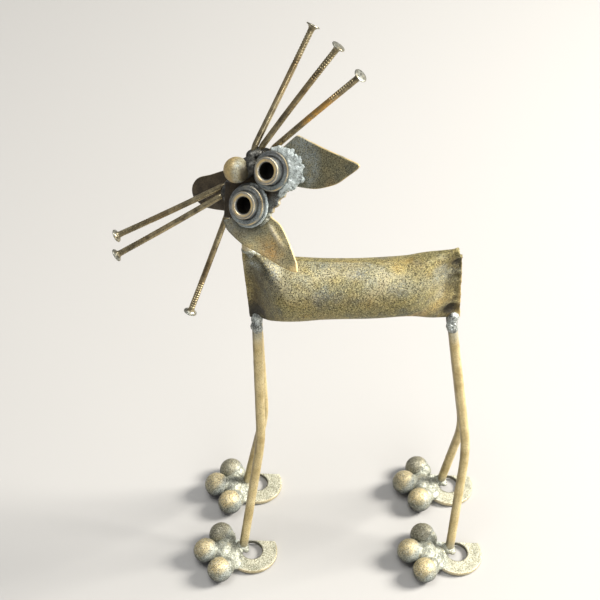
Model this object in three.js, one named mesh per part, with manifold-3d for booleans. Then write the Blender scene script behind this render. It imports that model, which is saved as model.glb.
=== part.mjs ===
import * as THREE from "three";
import { mergeVertices } from "three/addons/utils/BufferGeometryUtils.js";
import Module from "manifold-3d";

const wasm = await Module();
wasm.setup();

// A cat welded from scrap: a pinched tube, bent rods, half washers, steel balls, sleeves, nails and plates.
// Millimetres and degrees, +Z up. The cat stands along X, its head end toward -X, its left side toward -Y.

// Clearance that neighbouring pieces keep.
const clearance = 0.3;

// Body: a tube pinched flat at both ends, each with a short flat lip. The pinches lie to the right of the
// tube's axis, so the round part bulges to the left of them, and both ends lean toward the head at the top.
const body = {
  length: 126,
  radius: 17.5,
  wall: 1.5,
  lip: 2.5,
  frontPinch: 22,
  rearPinch: 32,
  pinchCurve: 1.35,
  frontBulge: 5,
  rearBulge: 3,
  lean: 3.5,
  height: 228,
  dents: 5,
  dentDepth: 1.4,
};

// Rods of the legs and the neck.
const rodRadius = 3;
const kneeBend = 16;
const neck = { inset: 3.4, belowHead: 8.1 };

// Each leg starts under a pinched end, bends once at the knee and ends at an ankle on its foot plate.
const hip = { spread: 3.4, drop: 4, frontInset: 4.3, rearInset: 4.9 };
// Knees and ankles lie along the body from their hip, aside from its middle.
const legs = [
  {
    name: "front_left",
    end: "front",
    side: -1,
    kneeAlong: 0.6,
    kneeAside: 10.5,
    kneeHeight: 96.6,
    ankleAlong: -13,
    ankleAside: 29.3,
    washerAlong: 5.6,
    washerAside: -2.9,
    toesAhead: 24.3,
    toesAside: -4.6,
  },
  {
    name: "front_right",
    end: "front",
    side: 1,
    kneeAlong: 2.4,
    kneeAside: 10.5,
    kneeHeight: 96.6,
    ankleAlong: -12.1,
    ankleAside: 24.5,
    washerAlong: 7.2,
    washerAside: 1.1,
    toesAhead: 21.9,
    toesAside: -6.7,
  },
  {
    name: "rear_left",
    end: "rear",
    side: -1,
    kneeAlong: 17.8,
    kneeAside: 9.7,
    kneeHeight: 87.3,
    ankleAlong: 11.8,
    ankleAside: 31,
    washerAlong: 4.6,
    washerAside: -2.9,
    toesAhead: 26.3,
    toesAside: -3.3,
  },
  {
    name: "rear_right",
    end: "rear",
    side: 1,
    kneeAlong: 17,
    kneeAside: 9.7,
    kneeHeight: 87.3,
    ankleAlong: 10.5,
    ankleAside: 27,
    washerAlong: 4.8,
    washerAside: -3.1,
    toesAhead: 25.3,
    toesAside: -3,
  },
];

// Foot: a washer cut straight beside its hole, raised at the front by its toes.
const washer = { radius: 17.45, hole: 7.15, thickness: 2.8, cutBeside: 8, tilt: 4 };
const toe = { radius: 8.5, groundAngle: 12, spread: 14.07, lead: 9.9, lift: 1.7 };

// Head frame: x toward the cat's left ear, y toward the crown, z out of the face plate's front.
const head = { behindEnd: 9.3, aside: -10, rise: 79.6, turn: -126.2, lift: 34, roll: -18.5 };
const plate = { thickness: 3, ear: 1.6, cheekWidth: 5.5, cheekFold: 20 };
// The face, ears and jaw are drawn in shares of these lengths.
const face = { width: 48.2 };
const ear = { leftLength: 38.3, rightLength: 34.6, tilt: 12 };
const jaw = { length: 32.2 };
const eye = {
  flangeRadius: 10.9,
  flangeHeight: 3,
  sleeveRadius: 7.4,
  sleeveHeight: 8,
  bore: 4.5,
  rimBevel: 0.8,
  leftX: 9.2,
  leftY: 1.8,
  rightX: -13.9,
  rightY: 0.8,
  ringRadius: 12.3,
  ringHeight: 1.6,
  sides: 16,
};
const nose = { radius: 7.15, x: -2.4, y: -13.5, z: 7.6 };
// Half sizes of each weld, and where its middle lies from what it joins.
const welds = {
  ankle: { x: -0.5, y: -0.8, z: 1.6, long: 4.6, wide: 4.4, high: 3.4 },
  toes: { x: 5.4, y: 0.6, z: -0.6, long: 10.5, wide: 8.2, high: 6.2 },
  hip: { x: 0, y: 0, z: 1, long: 5.2, wide: 6.6, high: 6.4 },
  neck: { x: 2.4, y: 0, z: 1.2, long: 6.6, wide: 4.4, high: 4.2 },
  nose: { x: -3.2, y: 1.9, z: -3.6, long: 7.4, wide: 5.2, high: 5 },
  earRight: { x: -10.1, y: 7.2, z: 1.2, long: 8, wide: 11.4, high: 3.2 },
  earLeft: { x: 6.6, y: 4.8, z: -3.4, long: 10, wide: 3.4, high: 2.6 },
  whiskersRight: { x: -0.3, y: 0.5, z: -0.8, long: 4.6, wide: 4.4, high: 6.6 },
  whiskersLeft: { x: -0.2, y: 1.7, z: 1.4, long: 6.2, wide: 6.2, high: 4.2 },
  head: { x: 0.2, y: -1.2, z: -6.4, long: 7.6, wide: 7.6, high: 4.4 },
};
const nail = { length: 76, shank: 1.7, headRadius: 3.95, headHeight: 1.1, cone: 1.4, point: 6 };
// Each whisker: its point in the head frame, its swing in the face plane and its lift out of it.
const whiskers = [
  { name: "right_front", point: [-11.8, -14.5, 2.5], swing: -165.6, lift: -6.9 },
  { name: "right_middle", point: [-13.1, -13.9, -1.4], swing: 176.3, lift: 4.5 },
  { name: "right_back", point: [-16, -11.3, -6.6], swing: 161.4, lift: 11.8 },
  { name: "left_front", point: [10.6, -19.2, -8.2], swing: -24.9, lift: 12.1 },
  { name: "left_middle", point: [15.4, -17.1, -8], swing: -19.6, lift: 14.3 },
  { name: "left_back", point: [16.9, -11.3, -5.6], swing: 10.7, lift: -10 },
];

const bronze = steel("#8a7440", 0.5, 0.85);
const paleBronze = steel("#b09a5c", 0.45, 0.85);
const gilt = steel("#b98f45", 0.4, 0.9);
const darkPlate = steel("#4d4128", 0.6, 0.7);
const weldGrey = steel("#8f9488", 0.6, 0.8);
const nailGrey = steel("#7b735b", 0.5, 0.85);

function steel(color, roughness, metalness) {
  return new THREE.MeshStandardMaterial({ color, roughness, metalness });
}

const degrees = THREE.MathUtils.degToRad;

// A geometry as a closed solid, moved by a matrix.
function solidOf(geometry, matrix) {
  const bare = new THREE.BufferGeometry();
  bare.setAttribute("position", geometry.getAttribute("position").clone());
  if (geometry.index) bare.setIndex(geometry.index.clone());
  bare.applyMatrix4(matrix);
  const merged = mergeVertices(bare, 1e-3);
  return new wasm.Manifold(
    new wasm.Mesh({
      numProp: 3,
      vertProperties: merged.attributes.position.array,
      triVerts: new Uint32Array(merged.index.array),
    }),
  );
}

// The geometry of a solid, moved by a matrix.
function geometryOf(solid, matrix) {
  const mesh = solid.getMesh();
  const geometry = new THREE.BufferGeometry();
  geometry.setAttribute("position", new THREE.BufferAttribute(new Float32Array(mesh.vertProperties), 3));
  geometry.setIndex(new THREE.BufferAttribute(new Uint32Array(mesh.triVerts), 1));
  geometry.applyMatrix4(matrix);
  geometry.computeVertexNormals();
  return geometry;
}

const cat = new THREE.Group();
const headGroup = new THREE.Group();
const pieces = new Map();

// Adds a piece to a group: its shape is a function of how much it is grown on every side.
function add(name, group, material, shape, place = () => {}) {
  const mesh = new THREE.Mesh(shape(0), material);
  mesh.name = name;
  place(mesh);
  group.add(mesh);
  pieces.set(name, { mesh, shape });
  return mesh;
}

// Cuts a piece back so that it keeps the clearance to each named neighbour, and keeps its largest part.
function fitAround(name, neighbours) {
  cat.updateMatrixWorld(true);
  const { mesh } = pieces.get(name);
  let left = solidOf(mesh.geometry, mesh.matrixWorld);
  for (const other of neighbours) {
    const neighbour = pieces.get(other);
    left = left.subtract(solidOf(neighbour.shape(clearance), neighbour.mesh.matrixWorld));
  }
  const parts = left.decompose();
  parts.sort((a, b) => b.volume() - a.volume());
  mesh.geometry = geometryOf(parts[0], mesh.matrixWorld.clone().invert());
}

// A turned shape about Z from a profile of [radius, height] that ends on the axis or closes on itself.
function turned(profile, segments) {
  const points = profile.map(([radius, height]) => new THREE.Vector2(radius, height));
  return new THREE.LatheGeometry(points, segments).rotateX(degrees(90));
}

// A round rod along a curve, with its ends lengthened by the growth.
function rodAlong(curve, radius, sides, steps) {
  const corners = [];
  for (let i = 0; i < sides; i++) {
    const angle = (2 * Math.PI * i) / sides;
    corners.push(new THREE.Vector2(radius * Math.cos(angle), radius * Math.sin(angle)));
  }
  const section = new THREE.Shape(corners);
  return new THREE.ExtrudeGeometry(section, { steps, extrudePath: curve, bevelEnabled: false });
}

// A line from start to end with a rounded bend at the corner between them.
function bentLine(start, corner, end, bend) {
  const before = corner.clone().add(start.clone().sub(corner).setLength(bend));
  const after = corner.clone().add(end.clone().sub(corner).setLength(bend));
  const path = new THREE.CurvePath();
  path.add(new THREE.LineCurve3(start, before));
  path.add(new THREE.QuadraticBezierCurve3(before, corner, after));
  path.add(new THREE.LineCurve3(after, end));
  return path;
}

// A ball with a small flat ground on its underside and a row of corners on its widest ring.
function ball(radius, groundAngle) {
  const profile = [[0, -radius * Math.cos(degrees(groundAngle))]];
  for (const angle of [groundAngle, (groundAngle + 90) / 2, 90, 120, 150]) {
    profile.push([radius * Math.sin(degrees(angle)), -radius * Math.cos(degrees(angle))]);
  }
  profile.push([0, radius]);
  return turned(profile, 10);
}

// A lump of weld: an ellipsoid with uneven sides.
function lump(size, unevenness, phase) {
  const geometry = new THREE.IcosahedronGeometry(1, 1);
  const position = geometry.getAttribute("position");
  const point = new THREE.Vector3();
  for (let i = 0; i < position.count; i++) {
    point.fromBufferAttribute(position, i);
    const waves = [
      Math.sin(5 * point.x + phase),
      Math.sin(6 * point.y + 2 * phase),
      Math.sin(5 * point.z - phase),
    ];
    const wave = waves[0] + waves[1] + waves[2];
    point.multiplyScalar(1 + (unevenness * wave) / 3);
    position.setXYZ(i, point.x * size[0], point.y * size[1], point.z * size[2]);
  }
  return geometry;
}

// A weld of a named kind at what it joins, cut back around its neighbours.
function addWeld(name, group, kind, joint, neighbours, phase) {
  const weld = welds[kind];
  const shape = (grow) => lump([weld.long + grow, weld.wide + grow, weld.high + grow], 0.12, phase);
  add(name, group, weldGrey, shape, (mesh) =>
    mesh.position.set(joint[0] + weld.x, joint[1] + weld.y, joint[2] + weld.z),
  );
  fitAround(name, neighbours);
}

// A flat plate: an outline extruded backward from z = 0, grown on every side about the outline's middle.
function flatPlate(outline, thickness, grow, segments) {
  const flat = new THREE.ExtrudeGeometry(outline, {
    depth: thickness,
    bevelEnabled: false,
    curveSegments: segments,
  });
  flat.translate(0, 0, -thickness);
  flat.computeBoundingBox();
  const size = flat.boundingBox.getSize(new THREE.Vector3());
  const middle = flat.boundingBox.getCenter(new THREE.Vector3());
  flat.translate(-middle.x, -middle.y, -middle.z);
  flat.scale((size.x + 2 * grow) / size.x, (size.y + 2 * grow) / size.y, (size.z + 2 * grow) / size.z);
  return flat.translate(middle.x, middle.y, middle.z);
}

// Body: half width and half height of the flattened tube, at a distance from an end, keep the tube's girth.
const girthPower = Math.LN2 / Math.log(Math.PI / 2);

function tubeSection(fromEnd, pinch) {
  const open = THREE.MathUtils.clamp((fromEnd - body.lip) / pinch, 0, 1);
  const roundness = Math.sin((Math.PI / 2) * open ** body.pinchCurve);
  const halfWidth = body.wall + (body.radius - body.wall) * roundness;
  const halfHeight = (2 * body.radius ** girthPower - halfWidth ** girthPower) ** (1 / girthPower);
  return { open, roundness, halfWidth, halfHeight };
}

// How far a height above the tube's axis leans toward the head.
function leaning(height) {
  return height * Math.tan(degrees(body.lean));
}

function bodyShape(grow) {
  const sides = 24;
  const rings = 12;
  const shape = new THREE.CylinderGeometry(1, 1, 2, sides, rings).rotateZ(degrees(90));
  const position = shape.getAttribute("position");
  for (let i = 0; i < position.count; i++) {
    const along = Math.sin((Math.PI / 2) * position.getX(i));
    const x = along * (body.length / 2 + grow);
    const fromEnd = (body.length / 2) * (1 - Math.abs(along));
    const pinch = along > 0 ? body.rearPinch : body.frontPinch;
    const { open, roundness, halfWidth, halfHeight } = tubeSection(fromEnd, pinch);
    const y = position.getY(i);
    const z = position.getZ(i);
    const dent = along > 0 ? (1 - open) ** 3 * body.dentDepth * (1 - Math.cos(Math.PI * body.dents * z)) : 0;
    const bulge = roundness * THREE.MathUtils.lerp(body.frontBulge, body.rearBulge, (1 + along) / 2);
    const high = z * (halfHeight + grow);
    position.setXYZ(i, x - dent / 2 - leaning(high), y * (halfWidth + grow) - bulge, high);
  }
  return shape;
}

add("body_tube", cat, bronze, bodyShape, (mesh) => mesh.position.set(0, 0, body.height));

// Neck: a straight rod on the head end's upper corner.
const lipHeight = tubeSection(0, body.frontPinch).halfHeight;
const neckX = neck.inset - body.length / 2 - leaning(lipHeight);
const neckFoot = body.height + lipHeight + clearance;
const headZ = body.height + head.rise;

function straightRod(start, end, radius, sides, grow) {
  const along = end.clone().sub(start).setLength(grow);
  const line = new THREE.LineCurve3(start.clone().sub(along), end.clone().add(along));
  return rodAlong(line, radius + grow, sides, 1);
}

const neckLine = [new THREE.Vector3(neckX, 0, neckFoot), new THREE.Vector3(neckX, 0, headZ - neck.belowHead)];
add("neck_rod", cat, bronze, (grow) => straightRod(...neckLine, rodRadius, 10, grow));

// Feet first: each plate leans on its heel edge, and the ankle stands on the plate.
function footPlateShape(grow) {
  const outer = washer.radius + grow;
  const cut = washer.cutBeside + grow;
  const startAngle = Math.asin(cut / outer);
  const outline = new THREE.Shape();
  outline.absarc(0, 0, outer, startAngle, Math.PI - startAngle, true);
  const hole = new THREE.Path().absarc(0, 0, washer.hole - grow, 0, 2 * Math.PI, false);
  outline.holes.push(hole);
  const depth = washer.thickness + 2 * grow;
  const shape = new THREE.ExtrudeGeometry(outline, { depth, bevelEnabled: false, curveSegments: 12 });
  return shape.translate(0, 0, -grow);
}

// The middle toe leads and is a little lifted, with a toe at each side of it.
const toePlaces = [
  { aside: -1, x: toe.lead / 3, lift: 0 },
  { aside: 0, x: (-2 * toe.lead) / 3, lift: toe.lift },
  { aside: 1, x: toe.lead / 3, lift: 0 },
];
const plateTilt = degrees(washer.tilt);
const plateLift = washer.radius * Math.sin(plateTilt);
const plateTop = plateLift + washer.thickness / Math.cos(plateTilt);
const toeHeight = toe.radius * Math.cos(degrees(toe.groundAngle));

// A hip lies below the pinched end, at its inset from the end's lower corner.
function hipPlace(end, inset, pinch) {
  const { halfHeight } = tubeSection(inset, pinch);
  return { x: end * (body.length / 2 - inset) + leaning(halfHeight), z: body.height - halfHeight - hip.drop };
}

const hips = {
  front: hipPlace(-1, hip.frontInset, body.frontPinch),
  rear: hipPlace(1, hip.rearInset, body.rearPinch),
};

for (const leg of legs) {
  const legHip = hips[leg.end];
  const ankleX = legHip.x + leg.ankleAlong;
  const ankleY = leg.side * leg.ankleAside;
  const plateX = ankleX + leg.washerAlong;
  const plateY = ankleY + leg.washerAside;
  add("foot_plate_" + leg.name, cat, paleBronze, footPlateShape, (mesh) => {
    mesh.position.set(plateX, plateY, plateLift);
    mesh.rotation.y = plateTilt;
  });

  const start = new THREE.Vector3(legHip.x, leg.side * hip.spread, legHip.z);
  const knee = new THREE.Vector3(legHip.x + leg.kneeAlong, leg.side * leg.kneeAside, leg.kneeHeight);
  const ankleRise = leg.washerAlong * Math.tan(plateTilt) + rodRadius;
  const ankle = new THREE.Vector3(ankleX, ankleY, plateTop + clearance + ankleRise / 2);
  const route = bentLine(start, knee, ankle, kneeBend);
  add("leg_" + leg.name, cat, paleBronze, (grow) => rodAlong(route, rodRadius + grow, 8, 10));

  const toesX = plateX - leg.toesAhead;
  const toesY = plateY + leg.toesAside;
  const toeNames = [];
  for (const place of toePlaces) {
    const outer = place.aside * leg.side > 0 ? "_outer" : "_inner";
    const name = "toe_" + leg.name + (place.aside === 0 ? "_middle" : outer);
    add(name, cat, gilt, (grow) => ball(toe.radius + grow, toe.groundAngle), (mesh) =>
      mesh.position.set(toesX + place.x, toesY + place.aside * toe.spread, toeHeight + place.lift),
    );
    toeNames.push(name);
  }
  fitAround("foot_plate_" + leg.name, toeNames);
  const solids = [...toeNames, "foot_plate_" + leg.name, "leg_" + leg.name];
  addWeld("ankle_weld_" + leg.name, cat, "ankle", [ankleX, ankleY, plateTop], solids, leg.kneeAlong);
  const around = [...solids, "ankle_weld_" + leg.name];
  addWeld("toe_weld_" + leg.name, cat, "toes", [toesX, toesY, toeHeight], around, leg.ankleAlong);
}

// Hip welds under the pinched ends, and the neck's weld on top.
for (const [name, place] of Object.entries(hips)) {
  const around = ["body_tube", "leg_" + name + "_left", "leg_" + name + "_right"];
  addWeld("hip_weld_" + name, cat, "hip", [place.x, 0, place.z], around, place.x);
}
addWeld("neck_weld", cat, "neck", [neckX, 0, neckFoot], ["body_tube", "neck_rod"], 1);

// Head: a turned, lifted and rolled frame.
const turnGroup = new THREE.Group();
turnGroup.position.set(head.behindEnd - body.length / 2, head.aside, headZ);
turnGroup.rotation.z = degrees(head.turn);
const liftGroup = new THREE.Group();
liftGroup.rotation.y = degrees(90 - head.lift);
headGroup.rotation.z = degrees(head.roll);
cat.add(turnGroup);
turnGroup.add(liftGroup);
liftGroup.add(headGroup);

// An outline in shares of a length: straight lines between its corners, then smooth edges.
function drawn(length, corners, ...edges) {
  const points = (shares) => shares.map(([x, y]) => new THREE.Vector2(x * length, y * length));
  const outline = new THREE.Shape(points(corners));
  for (const edge of edges) outline.splineThru(points(edge));
  return outline;
}

// Face plate: a flat plate whose muzzle edge folds back as a cheek.
const muzzleEdge = [[0.17, -0.338], [0.49, -0.085]];
const earRoot = [-0.461, 0.075];
const faceRest = [
  [0.539, -0.025],
  [0.124, 0.27],
  [0.008, 0.278],
  [-0.129, 0.295],
  [-0.282, 0.274],
  earRoot,
  [-0.456, -0.104],
  [-0.29, -0.218],
  [-0.083, -0.342],
];

function faceShape(grow) {
  const flat = flatPlate(drawn(face.width, [...muzzleEdge, ...faceRest]), plate.thickness, grow, 1);
  const corner = ([x, y]) => new THREE.Vector2(x * face.width, y * face.width);
  const [muzzleStart, muzzleEnd] = muzzleEdge.map(corner);
  const along = muzzleEnd.sub(muzzleStart);
  const cheek = new THREE.BoxGeometry(
    along.length() + 2 * grow,
    plate.cheekWidth + 2 * grow,
    plate.thickness + 2 * grow,
  );
  cheek.translate(along.length() / 2, -plate.cheekWidth / 2 + 0.6, -plate.thickness / 2);
  cheek.rotateX(degrees(plate.cheekFold));
  cheek.rotateZ(along.angle());
  cheek.translate(muzzleStart.x, muzzleStart.y, 0);
  const still = new THREE.Matrix4();
  return geometryOf(solidOf(flat, still).add(solidOf(cheek, still)), still);
}

add("face_plate", headGroup, darkPlate, faceShape);

// Places a mesh in the head frame with a given normal and a given direction of its own x.
function orient(mesh, origin, normal, direction) {
  const z = new THREE.Vector3(...normal).normalize();
  const x = new THREE.Vector3(...direction);
  x.addScaledVector(z, -x.dot(z)).normalize();
  const y = z.clone().cross(x);
  mesh.quaternion.setFromRotationMatrix(new THREE.Matrix4().makeBasis(x, y, z));
  mesh.position.set(...origin);
}

// Ears: leaf plates, each a little cupped toward the front by its tilt.
const earTilt = degrees(ear.tilt);

function leftEarShape(grow) {
  const outline = drawn(
    ear.leftLength,
    [[-0.251, 0.188], [0.256, -0.272]],
    [
      [0.321, -0.052],
      [0.303, 0.125],
      [0.232, 0.366],
      [0.18, 0.593],
      [0.115, 0.83],
      [0.076, 0.95],
      [0.016, 1],
    ],
    [[-0.12, 0.804], [-0.225, 0.569], [-0.277, 0.366], [-0.251, 0.188]],
  );
  return flatPlate(outline, plate.ear, grow, 3);
}

function rightEarShape(grow) {
  const outline = drawn(
    ear.rightLength,
    [[-0.023, -0.098], [-0.035, -0.347], [-0.488, -0.194]],
    [[-0.561, 0.058], [-0.665, 0.355], [-0.798, 0.746], [-0.827, 0.902]],
    [[-0.52, 0.821], [-0.289, 0.711], [-0.087, 0.587], [0.087, 0.399], [0.202, 0.185]],
  );
  return flatPlate(outline, plate.ear, grow, 3);
}

const leftEarPlace = [0.423 * ear.leftLength, 0.191 * ear.leftLength, 0];
const rightEarPlace = [earRoot[0] * face.width, 0.231 * ear.rightLength, 0];
add("ear_left", headGroup, gilt, leftEarShape, (mesh) =>
  orient(mesh, leftEarPlace, [-Math.sin(earTilt), 0, Math.cos(earTilt)], [1, 0, 0]),
);
add("ear_right", headGroup, bronze, rightEarShape, (mesh) =>
  orient(mesh, rightEarPlace, [Math.sin(earTilt), 0, Math.cos(earTilt)], [1, 0, 0]),
);

// Eyes: a sleeve with a bevelled rim and a deep bore in a flange, with one more ring under the left eye.
function flangeShape(grow) {
  const inner = eye.sleeveRadius + clearance - grow;
  const outer = eye.flangeRadius + grow;
  const top = eye.flangeHeight + grow;
  const round = 1;
  return turned(
    [
      [inner, -grow],
      [outer, -grow],
      [outer, top - round],
      [outer - round, top],
      [inner, top],
      [inner, -grow],
    ],
    eye.sides,
  );
}

function sleeveShape(grow) {
  const bore = eye.bore - grow;
  const outer = eye.sleeveRadius + grow;
  const top = eye.sleeveHeight + grow;
  const bevel = eye.rimBevel;
  return turned(
    [
      [bore, -grow],
      [outer, -grow],
      [outer, top - bevel],
      [outer - bevel, top],
      [bore + bevel, top],
      [bore, top - 2 * bevel],
      [bore, -grow],
    ],
    eye.sides,
  );
}

function ringShape(grow) {
  const inner = eye.sleeveRadius + clearance - grow;
  const outer = eye.ringRadius + grow;
  const top = eye.ringHeight + grow;
  return turned([[inner, -grow], [outer, -grow], [outer, top], [inner, top], [inner, -grow]], eye.sides);
}

const leftFloor = clearance + eye.ringHeight + clearance;

function addEyePiece(name, material, shape, floor) {
  const [x, y] = name.endsWith("left") ? [eye.leftX, eye.leftY] : [eye.rightX, eye.rightY];
  add(name, headGroup, material, shape, (mesh) => mesh.position.set(x, y, floor));
}

addEyePiece("eye_ring_left", weldGrey, ringShape, clearance);
addEyePiece("eye_flange_left", nailGrey, flangeShape, leftFloor);
addEyePiece("eye_flange_right", nailGrey, flangeShape, clearance);
addEyePiece("eye_sleeve_left", gilt, sleeveShape, clearance);
addEyePiece("eye_sleeve_right", gilt, sleeveShape, clearance);

add("nose_ball", headGroup, gilt, (grow) => ball(nose.radius + grow, toe.groundAngle), (mesh) =>
  mesh.position.set(nose.x, nose.y, nose.z),
);

// Jaw: a tongue-shaped plate behind the cheek.
function jawShape(grow) {
  const outline = drawn(
    jaw.length,
    [[-0.045, 0.305], [-0.045, -0.359], [0.18, -0.347]],
    [[0.509, -0.228], [0.808, -0.12], [0.964, 0.012], [1, 0.162], [0.928, 0.257]],
    [[0.719, 0.353], [0.449, 0.359], [-0.045, 0.305]],
  );
  return flatPlate(outline, plate.ear, grow, 3);
}

add("jaw_plate", headGroup, darkPlate, jawShape, (mesh) =>
  orient(mesh, [18, -18, -9.9], [0.3, -0.15, 0.94], [0.55, -0.83, 0]),
);

// Whiskers: wire nails with their points in the weld beside the nose.
function nailShape(grow) {
  const shank = nail.shank + grow;
  const top = nail.length + grow;
  return turned(
    [
      [0, -grow],
      [shank, nail.point - grow],
      [shank, top - nail.headHeight - nail.cone - 2 * grow],
      [shank + nail.cone / 2, top - nail.headHeight - 2 * grow],
      [nail.headRadius + grow, top - nail.headHeight - 2 * grow],
      [nail.headRadius + grow, top],
      [0, top],
    ],
    8,
  );
}

const headOut = new THREE.Vector3(0, 0, 1);
const whiskerNames = whiskers.map((whisker) => "whisker_" + whisker.name);
whiskers.forEach((whisker, i) => {
  const swing = degrees(whisker.swing);
  const lift = degrees(whisker.lift);
  const along = new THREE.Vector3(
    Math.cos(lift) * Math.cos(swing),
    Math.cos(lift) * Math.sin(swing),
    Math.sin(lift),
  );
  add(whiskerNames[i], headGroup, nailGrey, nailShape, (mesh) => {
    mesh.position.set(...whisker.point);
    mesh.quaternion.setFromUnitVectors(headOut, along);
  });
});

// The ears meet the face plate and the eyes, and everything keeps its clearance to the whiskers.
const plates = ["face_plate", "ear_left", "ear_right", "jaw_plate"];
const eyes = ["eye_ring_left", "eye_flange_left", "eye_flange_right", "eye_sleeve_left", "eye_sleeve_right"];
fitAround("ear_left", ["face_plate", ...eyes, ...whiskerNames]);
fitAround("ear_right", ["face_plate", ...eyes, ...whiskerNames]);
fitAround("face_plate", ["nose_ball", ...whiskerNames]);
fitAround("jaw_plate", ["face_plate", "neck_rod", ...whiskerNames]);

// Welds of the head.
const all = [...plates, ...eyes, "nose_ball", "neck_rod", ...whiskerNames];
const place = (name) => pieces.get(name).mesh.position.toArray();
addWeld("nose_weld", headGroup, "nose", place("nose_ball"), all, 2);
addWeld("ear_weld_right", headGroup, "earRight", [eye.rightX, eye.rightY, 0], all, 3);
addWeld("ear_weld_left", headGroup, "earLeft", [eye.leftX, eye.leftY, 0], all, 4);
const besideNose = [...all, "nose_weld"];
addWeld("whisker_weld_right", headGroup, "whiskersRight", place("whisker_right_middle"), besideNose, 5);
addWeld("whisker_weld_left", headGroup, "whiskersLeft", place("whisker_left_middle"), all, 6);
addWeld("head_weld", headGroup, "head", [eye.leftX, eye.leftY, 0], [...all, "ear_weld_left"], 7);

// The origin is at the middle of the bounding box's underside.
const root = new THREE.Group();
cat.updateMatrixWorld(true);
const bounds = new THREE.Box3().setFromObject(cat, true);
const middle = bounds.getCenter(new THREE.Vector3());
cat.position.set(-middle.x, -middle.y, -bounds.min.z);
root.add(cat);

export default root;
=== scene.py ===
import math
import bpy
import bmesh
import numpy as np
from mathutils import Matrix, Vector
from mathutils.geometry import delaunay_2d_cdt


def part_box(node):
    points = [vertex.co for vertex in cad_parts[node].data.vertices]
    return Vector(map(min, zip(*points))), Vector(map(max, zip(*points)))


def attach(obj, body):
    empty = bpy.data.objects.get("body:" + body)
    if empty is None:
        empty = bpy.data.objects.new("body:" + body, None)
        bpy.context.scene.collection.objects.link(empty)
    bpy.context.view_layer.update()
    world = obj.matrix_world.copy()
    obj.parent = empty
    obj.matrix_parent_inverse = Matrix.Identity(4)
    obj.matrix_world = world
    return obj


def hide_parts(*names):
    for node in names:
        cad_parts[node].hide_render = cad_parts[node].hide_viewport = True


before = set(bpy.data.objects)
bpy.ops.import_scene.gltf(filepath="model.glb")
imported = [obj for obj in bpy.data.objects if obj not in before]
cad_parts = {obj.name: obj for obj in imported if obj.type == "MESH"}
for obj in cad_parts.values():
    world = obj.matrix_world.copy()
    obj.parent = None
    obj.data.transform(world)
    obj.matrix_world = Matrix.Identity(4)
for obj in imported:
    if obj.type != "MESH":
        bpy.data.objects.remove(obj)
scene = bpy.context.scene
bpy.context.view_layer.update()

# Lengths are millimetres from the floor point under the body's middle, until put() turns them to metres.
MM = 0.001

BODY_LENGTH = 126.0
BODY_RADIUS = 17.5
BODY_WALL = 1.5
BODY_LIP = 2.5
FRONT_PINCH = 22.0
REAR_PINCH = 32.0
FRONT_BULGE = 5.0
REAR_BULGE = 3.0
BODY_LEAN = math.tan(math.radians(3.5))
BODY_HEIGHT = 228.0
PINCH_CURVE = 1.35
LIP_HEIGHT = 27.28
NECK_X = 3.4 - BODY_LENGTH / 2 - LIP_HEIGHT * BODY_LEAN
neck_low, neck_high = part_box("neck_rod")
MIDDLE = np.array([(neck_low[0] + neck_high[0]) / 2 - NECK_X * MM, (neck_low[1] + neck_high[1]) / 2, 0])
ROD = 3.0
KNEE_BEND = 16.0
BALL = 8.5
GROUND_ANGLE = math.radians(12)
PLATE_TILT = math.radians(4)
WASHER = (17.45, 7.15, 2.8, 8.0)  # outer and hole radius, thickness, and the cut's distance from the middle
GAP = 0.3  # between pieces that a weld joins
NECK_TOP = 299.5
TOE_SPREAD = 14.07
# a foot's toes: side, distance back from their middle, rise, how gilt the ball is, and how much shade is
# painted on it
TOES = ((-1, 3.3, 0.0, 1.0, 0.04), (0, -6.6, 1.7, 0.8, 0.08), (1, 3.3, 0.0, 0.2, 0.24))

# side; knee: x from the hip, y, z; ankle: x from the hip, y; foot plate from the ankle; toes from the plate
LEGS = {
    "front_left": (-1, (0.6, 10.5, 96.6), (-13.0, 29.3), (5.6, -2.9), (-24.3, -4.6)),
    "front_right": (1, (2.4, 10.5, 96.6), (-12.1, 24.5), (7.2, 1.1), (-21.9, -6.7)),
    "rear_left": (-1, (17.8, 9.7, 87.3), (11.8, 31.0), (4.6, -2.9), (-26.3, -3.3)),
    "rear_right": (1, (17.0, 9.7, 87.3), (10.5, 27.0), (4.8, -3.1), (-25.3, -3.0)),
}
# the head's own frame: x towards its left ear, y to the crown, z out of the face
HEAD = (
    Matrix.Translation((-53.7, -10.0, 307.6))
    @ Matrix.Rotation(math.radians(-126.2), 4, "Z")
    @ Matrix.Rotation(math.radians(90 - 34), 4, "Y")
    @ Matrix.Rotation(math.radians(-18.5), 4, "Z")
)


# numbers
def smooth(t):
    t = np.clip(t, 0, 1)
    return t * t * (3 - 2 * t)


def fade(value, reach):
    """1 at 0, falling to 0 at reach."""
    return smooth(1 - value / reach)


def peak(value, middle, reach):
    return smooth(1 - np.abs(value - middle) / reach)


def spot(across, up, reach):
    return smooth(1 - np.hypot(across, up) / reach)


def bell(value, size):
    return np.exp(-((value / size) ** 2))


def dent(across, wide, up, high):
    return np.exp(-((across / wide) ** 2 + (up / high) ** 2))


WORD = 0xFFFFFFFF


def lattice(i, j, k, seed):
    h = (i * 374761393 + j * 668265263 + k * 1442695041 + seed * 974634777) & WORD
    h = ((h ^ (h >> 13)) * 1274126177) & WORD
    return ((h ^ (h >> 16)) & WORD) / WORD


def value_noise(points, size, seed):
    p = np.asarray(points) / size + 1000.0
    cell = np.floor(p).astype(np.int64)
    f = p - cell
    f = f * f * (3 - 2 * f)
    total = 0
    for corner in np.ndindex(2, 2, 2):
        weight = 1
        for axis, far in enumerate(corner):
            weight = weight * (f[:, axis] if far else 1 - f[:, axis])
        total = total + weight * lattice(*(cell + np.array(corner)).T, seed)
    return total * 2 - 1


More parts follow.
